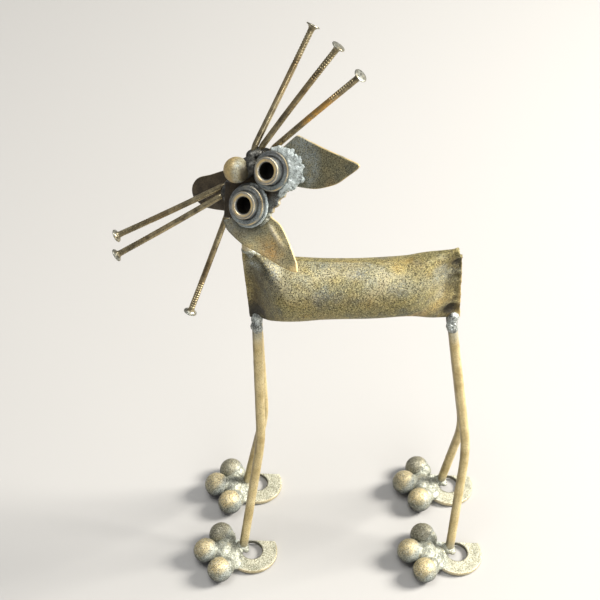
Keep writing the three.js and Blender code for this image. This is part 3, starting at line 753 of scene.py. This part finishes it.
for end, (x, z) in HIPS.items():
    lumps = [
        ((x, 0, z + 1.4), (3.5, 5.4, 5.0)),
        ((x - 0.2, -HIP_SPREAD - 0.4, z - 0.6), (3.6, 3.3, 3.8)),
        ((x + 0.3, HIP_SPREAD, z - 1.0), (3.4, 3.3, 4.2)),
        ((x + 0.3, -4.2, z - 2.4), (3.4, 3.1, 3.0)),
        ((x + 0.6, -1.5, z + 5.0), (3.4, 2.6, 3.0)),
    ]
    bead(
        "hip_bead_" + end, lumps, ["hip_weld_" + end], 300 + len(end),
        voxel=0.33, settle=5, ripple=0.45, pits=0.5, material=hip_metal,
    )

neck_foot = BODY_HEIGHT + LIP_HEIGHT + GAP
neck_line = [(NECK_X, 0, neck_foot + (NECK_TOP - neck_foot) * t) for t in np.linspace(0, 1, 30)]
mesh = sweep(neck_line, ROD)
roughen(mesh, 5.0, 0.08, 330)
mark(mesh, "silver", fade(coords(mesh)[:, 2] - neck_foot, 12) * 0.5)
put(mesh, "neck_bar", rod_metal, ["neck_rod"])
lumps = [
    ((NECK_X + 0.4, -0.2, neck_foot - 0.2), (3.8, 3.6, 1.9)),
    ((NECK_X + 2.2, -1.6, neck_foot - 2.2), (2.8, 2.0, 2.9)),
    ((NECK_X + 5.4, -2.0, neck_foot - 3.4), (2.6, 1.8, 2.0)),
]
bead("neck_bead", lumps, ["neck_weld"], 340, voxel=0.33, settle=5, ripple=0.35, pits=0.2)


# plates of the head
def leaf(outline, thick, edge, spacing=0.9):
    """A thin plate with rounded edges, fine enough to bend; returns it and its points' edge distance."""
    loop = []
    for i, a in enumerate(outline):
        b = outline[(i + 1) % len(outline)]
        count = max(1, round(np.linalg.norm(b - a) / 0.7))
        loop += [a + (b - a) * t for t in np.linspace(0, 1, count, endpoint=False)]
    loop = np.array(loop)
    area = np.sum(loop[:, 0] * np.roll(loop[:, 1], -1) - loop[:, 1] * np.roll(loop[:, 0], -1))
    if area < 0:
        loop = loop[::-1]
    nxt = np.roll(loop, -1, 0)

    def distance(points):
        ab = nxt - loop
        ap = points[:, None] - loop[None]
        t = np.clip(np.sum(ap * ab[None], 2) / np.maximum(np.sum(ab * ab, 1), 1e-9)[None], 0, 1)
        return np.min(np.linalg.norm(ap - t[..., None] * ab[None], axis=2), axis=1)

    def inside(points):
        x, y = points[:, 0][:, None], points[:, 1][:, None]
        crosses = (loop[None, :, 1] > y) != (nxt[None, :, 1] > y)
        span = np.where(nxt[:, 1] == loop[:, 1], 1e-9, nxt[:, 1] - loop[:, 1])
        at = (nxt - loop)[None, :, 0] * (y - loop[None, :, 1]) / span[None] + loop[None, :, 0]
        return np.sum(crosses & (x < at), 1) % 2 == 1

    tangent = nxt - np.roll(loop, 1, 0)
    tangent /= np.linalg.norm(tangent, axis=1)[:, None]
    inward = np.stack([-tangent[:, 1], tangent[:, 0]], 1)
    points = [loop]
    for depth in (0.08, 0.25, 0.5, 0.85):
        ring = loop + inward * depth * edge / 0.8
        keep = inside(ring) & (distance(ring) > depth * edge / 0.8 * 0.8)
        points.append(ring[keep])
    low, high = loop.min(0), loop.max(0)
    xs = np.arange(low[0], high[0], spacing)
    ys = np.arange(low[1], high[1], spacing)
    fill = np.array([(x + (j % 2) * spacing / 2, y) for j, y in enumerate(ys) for x in xs])
    fill = fill[inside(fill) & (distance(fill) > 1.0)]
    flat = np.concatenate([*points, fill])
    count = len(loop)
    sides = [(i, (i + 1) % count) for i in range(count)]
    verts, _, faces = delaunay_2d_cdt([Vector(p) for p in flat], sides, [], 1, 1e-4)[:3]
    flat = np.array([tuple(v) for v in verts])
    depth = distance(flat)
    on_edge = depth < 1e-3
    rise = thick / 2 * np.sqrt(1 - (1 - np.clip(depth / edge, 0, 1)) ** 2)
    bm = bmesh.new()
    front = [bm.verts.new((p[0], p[1], z)) for p, z in zip(flat, rise)]
    back = []
    for vert, p, z, rim in zip(front, flat, rise, on_edge):
        back.append(vert if rim else bm.verts.new((p[0], p[1], -z)))
    centre_ok = inside(np.array([flat[list(f)].mean(0) for f in faces]))
    for f, good in zip(faces, centre_ok):
        if not good:
            continue
        for side in ([front[i] for i in f], [back[i] for i in reversed(f)]):
            try:
                bm.faces.new(side)
            except ValueError:
                pass
    bmesh.ops.recalc_face_normals(bm, faces=bm.faces)
    loose = [v for v in bm.verts if not v.link_faces]
    bmesh.ops.delete(bm, geom=loose, context="VERTS")
    mesh = to_mesh(bm, "leaf")
    return mesh, distance(coords(mesh)[:, :2])


def oriented(origin, normal, direction):
    z = Vector(normal).normalized()
    x = Vector(direction)
    x = (x - z * x.dot(z)).normalized()
    y = z.cross(x)
    turn = Matrix((x, y, z)).transposed().to_4x4()
    return HEAD @ Matrix.Translation(origin) @ turn


PLATE = 3.0
EAR = 1.6
EAR_TILT = math.radians(12)


def arrays(points):
    return [np.array(p, float) for p in points]


def curved(corners, *curves):
    """An outline from corners, then curves through points, each from where the last one ends."""
    points = arrays(corners)
    for through, steps in curves:
        points += spline([points[-1], *through], steps)[1:]
    return points[:-1] if np.array_equal(points[0], points[-1]) else points


def ears():
    outline = curved(
        [(-11, 3.4), (-2, -5.0), (10.0, -12.6)],
        ([(12.0, -8.4), (12.4, -3.5), (11.8, 5), (9.6, 12.4), (7.0, 22.7), (4.4, 32.4), (2.8, 36.4)], 10),
        ([(1.8, 37.9), (0.5, 37.9), (-2.2, 34.8)], 6),
        ([(-5.7, 27.9), (-9, 20.1), (-10.7, 13.9), (-10.4, 8.1), (-11, 3.4)], 8),
    )
    mesh, depth = leaf(outline, EAR, 0.7)
    co = coords(mesh)
    x, y = co[:, 0].copy(), co[:, 1].copy()
    # the strip beyond the crease folds forward, and the rest is a little cupped
    start, finish = np.array([-6.0, 10.5]), np.array([-1.2, 30.0])
    along = (finish - start) / np.linalg.norm(finish - start)
    beyond = (x - start[0]) * along[1] - (y - start[1]) * along[0]
    reach = smooth((y - 7) / 5) * smooth((33 - y) / 10)
    crest = bell(beyond, 1.1) * reach * smooth((25 - y) / 4)
    co[:, 2] += reach * np.where(beyond < 0, beyond * 0.22, 0) + 0.5 * crest
    co[:, 2] += 0.012 * (x - 1) ** 2 * smooth((y - 2) / 8) - 0.0035 * np.maximum(y - 14, 0) ** 2
    co[:, 2] += 0.18 * rough(co, 6, 400) - EAR / 2
    set_coords(mesh, co)
    # a painted highlight along the crease and a painted glint on the tip, in gold and silver; painted
    # shadow of the eye over the base
    edge = fade(depth, 0.6) * (0.6 + 0.5 * rough(co, 4, 405)) * smooth((y - 4) / 4)
    tip_glint = smooth((y - 33.5) / 3) * 0.5
    mark(mesh, "wear_and_highlight", np.clip(edge + crest * 0.3 + tip_glint, 0, 1))
    mark(mesh, "silver", np.clip(fade(y + 4, 14) * 0.5 + crest * 0.7, 0, 1))
    mark(mesh, "rust", smooth(1 - np.hypot((x - 3) / 9, (y - 20) / 12)) * 0.9)
    mark(mesh, "grime_and_shade", fade(y + 6, 18) * 0.5)
    move(mesh, oriented((16.2, 7.3, 0), (-math.sin(EAR_TILT), 0, math.cos(EAR_TILT)), (1, 0, 0)))
    put(mesh, "ear_leaf_left", gold_leaf, ["ear_left"])

    outline = curved(
        [(-0.8, -3.4), (-1.2, -12), (-14.6, -8.0)],
        ([(-16.4, -7.0), (-17.6, -4.4), (-21.8, 9.2), (-24.9, 18), (-27.6, 26.4)], 8),
        ([(-28.5, 29.6), (-28.2, 31.3), (-26.4, 31.5), (-22.8, 30.5)], 5),
        ([(-18, 28.8), (-11.7, 26.5), (-5.6, 22.2), (-0.2, 17.3), (4.9, 10.3), (7, 6.4)], 8),
    )
    mesh, depth = leaf(outline, EAR, 0.7)
    co = coords(mesh)
    x, y = co[:, 0].copy(), co[:, 1].copy()
    curl = 0.004 * np.maximum(y - 12, 0) ** 2 * smooth((-x - 8) / 10)
    co[:, 2] += 0.16 * rough(co, 7, 410) - EAR / 2 - curl
    co[:, 2] += 0.35 * bell(x + 6, 3.0) * smooth((y - 14) / 5)
    set_coords(mesh, co)
    mark(mesh, "wear_and_highlight", np.clip(fade(depth, 0.5) * (0.5 + 0.6 * rough(co, 4, 415)), 0, 0.8))
    burnt = fade(np.hypot(x + 4, (y + 4) * 0.9) - 14.5, 6.5)
    mark(mesh, "silver", burnt * 0.6)
    mark(mesh, "rust", smooth(1 - np.hypot((x + 9) / 7, (y - 24) / 6)) * 0.3)
    move(mesh, oriented((-22.2, 8, 0), (math.sin(EAR_TILT), 0, math.cos(EAR_TILT)), (1, 0, 0)))
    put(mesh, "ear_leaf_right", shaded_leaf, ["ear_right"])

    outline = curved(
        [(-1.5, 10.2), (-1.5, -12), (6, -11.6)],
        ([(16.4, -7.6), (26, -4.4), (30.6, -0.6), (32.2, 3.6), (31.4, 7.6), (29.4, 9.4)], 8),
        ([(23.2, 11.8), (14.5, 12), (-1.5, 10.2)], 8),
    )
    mesh, depth = leaf(outline, EAR, 0.7)
    co = coords(mesh)
    co[:, 2] += 0.2 * rough(co, 7, 420) - EAR / 2 - 0.008 * (co[:, 1] - 1) ** 2
    set_coords(mesh, co)
    mark(mesh, "wear_and_highlight", fade(depth, 0.5) * 0.2)
    move(mesh, oriented((18, -18, -9.9), (0.3, -0.15, 0.94), (0.55, -0.83, 0)))
    put(mesh, "jaw_tongue", plate_patina_and_shade, ["jaw_plate"])


EYES = {"left": (9.2, 1.8), "right": (-13.9, 0.8)}


def face():
    corner_a, corner_b = np.array([8.2, -16.3]), np.array([23.6, -4.1])
    along = (corner_b - corner_a) / np.linalg.norm(corner_b - corner_a)
    out = np.array([along[1], -along[0]])
    fold = math.radians(20)
    outline = [
        corner_a, corner_a + out * 4.9, corner_b + out * 4.9, corner_b,
        (26, -1.2), (8.5, 13.4), (6.2, 14.6), (4.8, 13.7), (3.2, 14.6), (1.4, 13.4), (-0.6, 14.4),
        (-2.6, 14.6), (-4, 13.2), (-6.2, 13.6), (-7.4, 14.6), (-9.7, 13.5), (-12, 14.6), (-15, 14.2),
        (-22.2, 3.6), (-22, -5), (-14, -10.5), (-4, -16.5),
    ]
    mesh, depth = leaf(arrays(outline), PLATE, 0.9)
    co = coords(mesh)
    beyond = (co[:, :2] - corner_a) @ out
    over = np.maximum(beyond, 0)
    co[:, 0] -= out[0] * over * (1 - math.cos(fold))
    co[:, 1] -= out[1] * over * (1 - math.cos(fold))
    co[:, 2] -= over * math.sin(fold) + PLATE / 2
    co[:, 2] += 0.15 * rough(co, 5, 430)
    set_coords(mesh, co)
    far_side = smooth((co[:, 1] - 6) / 6) * smooth((10 - co[:, 0]) / 4)
    mark(mesh, "wear_and_highlight", fade(depth, 0.6) * 0.35 * (beyond < 0))
    mark(mesh, "silver", far_side * 0.5)
    # painted shade on the strip folded back from the face and in the eye holes
    eye_hole_shade = [smooth((6.5 - np.hypot(co[:, 0] - x, co[:, 1] - y)) / 1.0) for x, y in EYES.values()]
    mark(mesh, "grime_and_shade", np.maximum(smooth((beyond + 0.5) / 1.5) * 0.4, np.maximum(*eye_hole_shade)))
    move(mesh, HEAD)
    put(mesh, "face_metal", plate_patina_and_shade, ["face_plate"])


ears()
face()


# eyes and nose
def arc(cx, cz, radius, start, end, steps=5):
    angles = np.radians(np.linspace(start, end, steps))
    return [(cx + radius * math.cos(a), cz + radius * math.sin(a)) for a in angles]


def closed_lathe(profile, sides=96):
    angles = np.linspace(0, 2 * math.pi, sides, endpoint=False)
    grid = np.array([[(r * math.cos(a), r * math.sin(a), z) for a in angles] for r, z in profile])
    return to_mesh(bm_grid(grid, close_u=True), "turned")


def eye(side, floor, ring):
    x, y = EYES[side]
    if ring:
        # a bead of weld round the collar's foot, thickest towards the crown
        profile = [(7.65, 0), (11.6, 0), *arc(11.5, 0.8, 0.75, -60, 80), (9.4, 1.55), (7.65, 1.55)]
        mesh = closed_lathe(profile, 144)
        co = coords(mesh)
        radius = np.hypot(co[:, 0], co[:, 1])
        crown = smooth((co[:, 1] / np.maximum(radius, 1e-6) + 0.2) / 0.9) * smooth((radius - 10.6) / 0.8)
        co[:, 2] += crown * 1.1
        set_coords(mesh, co)
        roughen(mesh, 2.2, 0.35, 450)
        # silver over the thick crown, partly weld colour and partly a painted highlight; darker where the
        # bead is thin
        mark(mesh, "silver", crown)
        mark(mesh, "grime_and_shade", (1 - crown) * 0.8)
        move(mesh, HEAD @ Matrix.Translation((x, y, GAP)))
        put(mesh, "eye_bead_ring", crust_metal, ["eye_ring_left"], sharp=80)
    profile = [
        (7.65, 0), *arc(10.5, 0.4, 0.4, -90, 0, 3), *arc(10.1, 2.2, 0.8, 0, 90, 7), (9.7, 3.0), (9.4, 2.8),
        (9.0, 2.76), (8.7, 2.9), (8.2, 3.0), (7.65, 2.9),
    ]
    mesh = closed_lathe(profile)
    co = coords(mesh)
    radius = np.hypot(co[:, 0], co[:, 1])
    angle = np.arctan2(co[:, 1], co[:, 0])
    line = bell(radius - 10.45, 0.28) * (co[:, 2] > 2.0) * smooth((np.sin(angle) + 0.5) / 0.8)
    mark(mesh, "wear_and_highlight", np.clip(line * (0.6 + 0.8 * rough(co, 3, 455)), 0, 1))
    # painted shade inside the collar and low at its foot; silver on one side as a painted highlight
    low = smooth((1.6 - co[:, 2]) / 1.0)
    mark(mesh, "grime_and_shade", np.maximum(smooth((8.5 - radius) / 0.5) * 0.75, low * 0.5))
    mark(mesh, "silver", smooth((np.sin(angle + 0.5) - 0.1) / 0.7) * 0.8)
    roughen(mesh, 2.5, 0.08, 456)
    move(mesh, HEAD @ Matrix.Translation((x, y, floor)))
    put(mesh, "eye_collar_" + side, flange_metal, ["eye_flange_" + side])

    bore, outer, top = 4.2, 7.4, 8.0
    profile = [
        (bore, 0), (outer - 0.2, 0), (outer, 0.2), (outer, 4.0), (outer, top - 1.0),
        *arc(outer - 0.7, top - 0.7, 0.7, 10, 85, 6), (6.2, top), (5.9, top - 0.02),
        *arc(5.75, top - 1.1, 1.1, 95, 165, 6), (bore + 0.2, top - 1.5), (bore, top - 2.4), (bore, 3.0),
    ]
    mesh = closed_lathe(profile)
    co = coords(mesh)
    radius = np.hypot(co[:, 0], co[:, 1])
    gold = np.exp(-(((radius - 5.7) / 0.75) ** 4)) * (co[:, 2] > top - 1.2)
    outer_edge = 0.5 * bell(radius - 7.2, 0.2) * (co[:, 2] > top - 1)
    gold = gold * (0.78 + 0.5 * rough(co, 2.5, 460)) + outer_edge
    mark(mesh, "wear_and_highlight", np.clip(gold, 0, 1))
    # painted shade inside the bore, in the groove of the rim and round the foot
    inside = smooth((4.75 - radius) / 0.35)
    groove = bell(radius - 6.65, 0.16) * (co[:, 2] > top - 0.5) * 0.6
    foot = smooth((4.4 - co[:, 2]) / 1.4) * (radius > 7) * 0.75
    mark(mesh, "grime_and_shade", np.clip(np.maximum(inside, np.maximum(groove, foot)), 0, 1))
    roughen(mesh, 2.5, 0.05, 461)
    move(mesh, HEAD @ Matrix.Translation((x, y, GAP)))
    put(mesh, "eye_tube_" + side, sleeve_metal, ["eye_sleeve_" + side])


EYE_RING = 1.6  # the thickness of the ring of weld under the left eye
eye("left", GAP + EYE_RING + GAP, True)
eye("right", GAP, False)

NOSE = 7.15
NOSE_PLACE = (-2.4, -13.5, 7.6)
mesh = ball_mesh(NOSE, 470)
co = coords(mesh)
across = 0.86 * co[:, 1] - 0.5 * co[:, 0]
to_right = smooth((across + 0.5) / 3.5)
far_right_shade = smooth((across - 3.6) / 2.4)
# painted shade on the side towards the eye, and bluish silver next to it, partly a painted highlight
mark(mesh, "grime_and_shade", np.clip(0.1 + far_right_shade * 0.75, 0, 1))
mark(mesh, "silver", to_right * (1 - far_right_shade) * 0.7)
mark(mesh, "rust", (1 - to_right) * 0.5)
mark(mesh, "wear_and_highlight", (1 - 0.7 * to_right) * (0.3 + 0.3 * rough(co, 5, 475)).clip(0, 1))
move(mesh, HEAD @ Matrix.Translation(NOSE_PLACE))
put(mesh, "nose_sphere", gold_leaf, ["nose_ball"])


# whiskers
# the nail's point, and its direction as degrees of swing and of lift
WHISKERS = {
    "right_front": ((-11.8, -14.5, 2.5), -165.6, -6.9),
    "right_middle": ((-13.1, -13.9, -1.4), 176.3, 4.5),
    "right_back": ((-16, -11.3, -6.6), 161.4, 11.8),
    "left_front": ((10.6, -19.2, -8.2), -24.9, 12.1),
    "left_middle": ((15.4, -17.1, -8), -19.6, 14.3),
    "left_back": ((16.9, -11.3, -5.6), 10.7, -10),
}


def nail(name, point, swing, lift, seed, rusty):
    length, shank, wide = 76.0, 1.7, 3.85
    profile = [(0, 0), (0.25, 0.15), (shank * 0.55, 2.6), (shank * 0.97, 6.0), (shank, 6.6)]
    profile += [(shank, z) for z in np.linspace(8, 52, 24)]
    # grip rings below the head
    z = 53.0
    while z < 71.0:
        profile += [(shank, z), (shank, z + 0.55), (shank - 0.2, z + 0.75)]
        profile += [(shank - 0.2, z + 1.05), (shank, z + 1.25)]
        z += 1.55
    profile += [(shank, 73.0), (shank + 0.25, 73.9)]
    profile += [(shank + 1.2, length - 1.15), (wide - 0.25, length - 1.0)]
    profile += [*arc(wide - 0.4, length - 0.55, 0.4, -60, 80, 5), (wide - 1.4, length - 0.1), (0, length)]
    mesh = to_mesh(lathe(profile, 24), "nail")
    co = coords(mesh)
    bow = 0.35 * np.sin(math.pi * np.clip(co[:, 2] / 72, 0, 1))
    co[:, 0] += bow * math.cos(seed)
    co[:, 1] += bow * math.sin(seed)
    set_coords(mesh, co)
    mark(mesh, "silver", smooth((co[:, 2] - length + 2.5) / 1.5) * 0.4)
    mark(mesh, "rust", rusty * smooth((co[:, 2] - 28) / 8) * smooth((62 - co[:, 2]) / 8))
    roughen(mesh, 3.0, 0.05, seed)
    swing, lift = math.radians(swing), math.radians(lift)
    along = Vector((math.cos(lift) * math.cos(swing), math.cos(lift) * math.sin(swing), math.sin(lift)))
    turn = Vector((0, 0, 1)).rotation_difference(along).to_matrix().to_4x4()
    move(mesh, HEAD @ Matrix.Translation(point) @ turn)
    put(mesh, "whisker_nail_" + name, nail_metal, ["whisker_" + name])


for index, (name, (point, swing, lift)) in enumerate(WHISKERS.items()):
    nail(name, point, swing, lift, 500 + index, 1.0 if name == "right_back" else 0.15)

# welds of the head
bead("nose_bead", [
    ((-6.0, -11.2, 3.6), (7.0, 5.0, 4.6)), ((-8.6, -9.0, 4.2), (4.4, 4.0, 4.4)),
    ((-3.4, -12.6, 5.0), (5.6, 5.6, 3.4)), ((-9.6, -11.6, 2.6), (3.4, 3.4, 3.4)),
], ["nose_weld"], 610, voxel=0.35, settle=14, ripple=0.12, matrix=HEAD, material=shade_dark_weld)


def round_eye(turn, reach, z):
    """A place at a turn in degrees and a reach from the right eye's middle."""
    angle = math.radians(turn)
    return EYES["right"][0] + reach * math.cos(angle), EYES["right"][1] + reach * math.sin(angle), z


# the crusted seam runs in an arc outside the right eye's collar, with drops on its outer edge
COLLAR = 10.2
lumps = []
for turn, reach in (
    (204, 12.6), (192, 13.2), (180, 14.2), (168, 15.8), (156, 17.2), (145, 17.8),
    (134, 18.0), (123, 17.8), (112, 17.0), (102, 15.8), (94, 13.6),
):
    half_wide = (reach - COLLAR) / 2 + 0.7
    size = (half_wide, 4.6, 1.0 + 0.14 * half_wide)
    lumps.append((round_eye(turn, (COLLAR + reach) / 2, 0.9), size, turn))
for turn, reach, size in (
    (171, 16.4, 1.7), (151, 18.4, 2.2), (138, 18.9, 1.5), (116, 18.3, 2.0), (98, 15.4, 1.5),
):
    lumps.append((round_eye(turn, reach, 1.1), (size, size * 0.9, 1.0)))
lumps.append(((EYES["right"][0] + 3.4, EYES["right"][1] + 11.8, 0.2), (5.0, 1.9, 1.6)))
bead(
    "ear_bead_right", lumps, ["ear_weld_right"], 620,
    voxel=0.36, ripple=0.65, pits=0.6, matrix=HEAD, material=crust_metal,
)
bead("ear_bead_left", [
    ((15.8, 8.2, -2.6), (9.6, 2.8, 2.2)), ((9.0, 13.2, -1.0), (5.5, 2.0, 1.8)),
    ((20.0, 4.5, -2.4), (5.0, 3.0, 2.0)),
], ["ear_weld_left"], 630, voxel=0.38, settle=3, ripple=0.35, pits=0.5, matrix=HEAD)
bead("whisker_bead_right", [
    ((-13.4, -13.4, -2.2), (4.4, 4.2, 6.2)), ((-15.4, -11.6, -5.0), (3.6, 3.4, 3.8)),
    ((-12.0, -14.0, 1.5), (3.4, 3.2, 3.4)),
], ["whisker_weld_right"], 640, voxel=0.35, pits=0.2, matrix=HEAD, material=shade_dark_weld)
bead("whisker_bead_left", [
    ((15.2, -15.4, -6.6), (5.8, 5.6, 3.8)), ((12.0, -18.0, -7.0), (4.0, 3.6, 3.4)),
], ["whisker_weld_left"], 650, voxel=0.35, settle=4, ripple=0.35, pits=0.3, matrix=HEAD, material=shade_dark_weld)
bead("head_bead", [
    ((9.4, 0.6, -6.0), (7.2, 7.2, 4.2)), ((6.0, -3.0, -5.6), (5.4, 5.0, 3.8)),
    ((12.5, 3.5, -5.5), (5.0, 5.0, 3.6)),
], ["head_weld"], 660, voxel=0.4, settle=5, pits=0.3, matrix=HEAD, material=shade_dark_weld)


# floor, light and camera
def lamp(name, place, target, size, power, colour=(1, 1, 1)):
    data = bpy.data.lights.new(name, "AREA")
    data.shape = "DISK"
    data.size = size
    data.energy = power
    data.color = colour
    light = bpy.data.objects.new(name, data)
    light.location = place
    light.rotation_euler = (Vector(target) - Vector(place)).to_track_quat("-Z", "Y").to_euler()
    scene.collection.objects.link(light)


FLOOR_SIZE = 14
bpy.ops.mesh.primitive_plane_add(size=FLOOR_SIZE, location=(0, 0, 0))
floor = bpy.context.object
floor.name = "floor"
paint = bpy.data.materials.new("floor_paint")
paint.use_nodes = True
look = paint.node_tree.nodes["Principled BSDF"].inputs
look["Base Color"].default_value = (0.4, 0.39, 0.37, 1)
look["Roughness"].default_value = 0.85
floor.data.materials.append(paint)

world = bpy.data.worlds.new("studio")
world.use_nodes = True
sky = world.node_tree.nodes["Background"].inputs
sky["Color"].default_value = (0.9, 0.93, 1.0, 1)
sky["Strength"].default_value = 0.26
scene.world = world
lamp("key", (1.6, 0.25, 1.3), (0, 0, 0.15), 0.75, 100, (1.0, 0.97, 0.92))
lamp("overhead", (-0.3, -0.1, 2.3), (0, 0, 0.2), 1.4, 32)
lamp("front", (0.9, -1.9, 1.2), (0, 0, 0.2), 1.2, 15)
scene.view_settings.view_transform = "Standard"

LOOK_DOWN = math.radians(45)
VIEWPOINT = (-31.25, -542.63, 529.14)  # from the middle of the tube
camera = bpy.data.objects.new("camera", bpy.data.cameras.new("camera"))
camera.data.lens = 78
camera.data.sensor_width = 36
camera.data.clip_start = 0.01
camera.rotation_euler = (LOOK_DOWN, 0, 0)
tube_middle = Vector((*MIDDLE[:2], BODY_HEIGHT * MM))
camera.location = tube_middle + Vector(VIEWPOINT) * MM
scene.collection.objects.link(camera)
scene.camera = camera
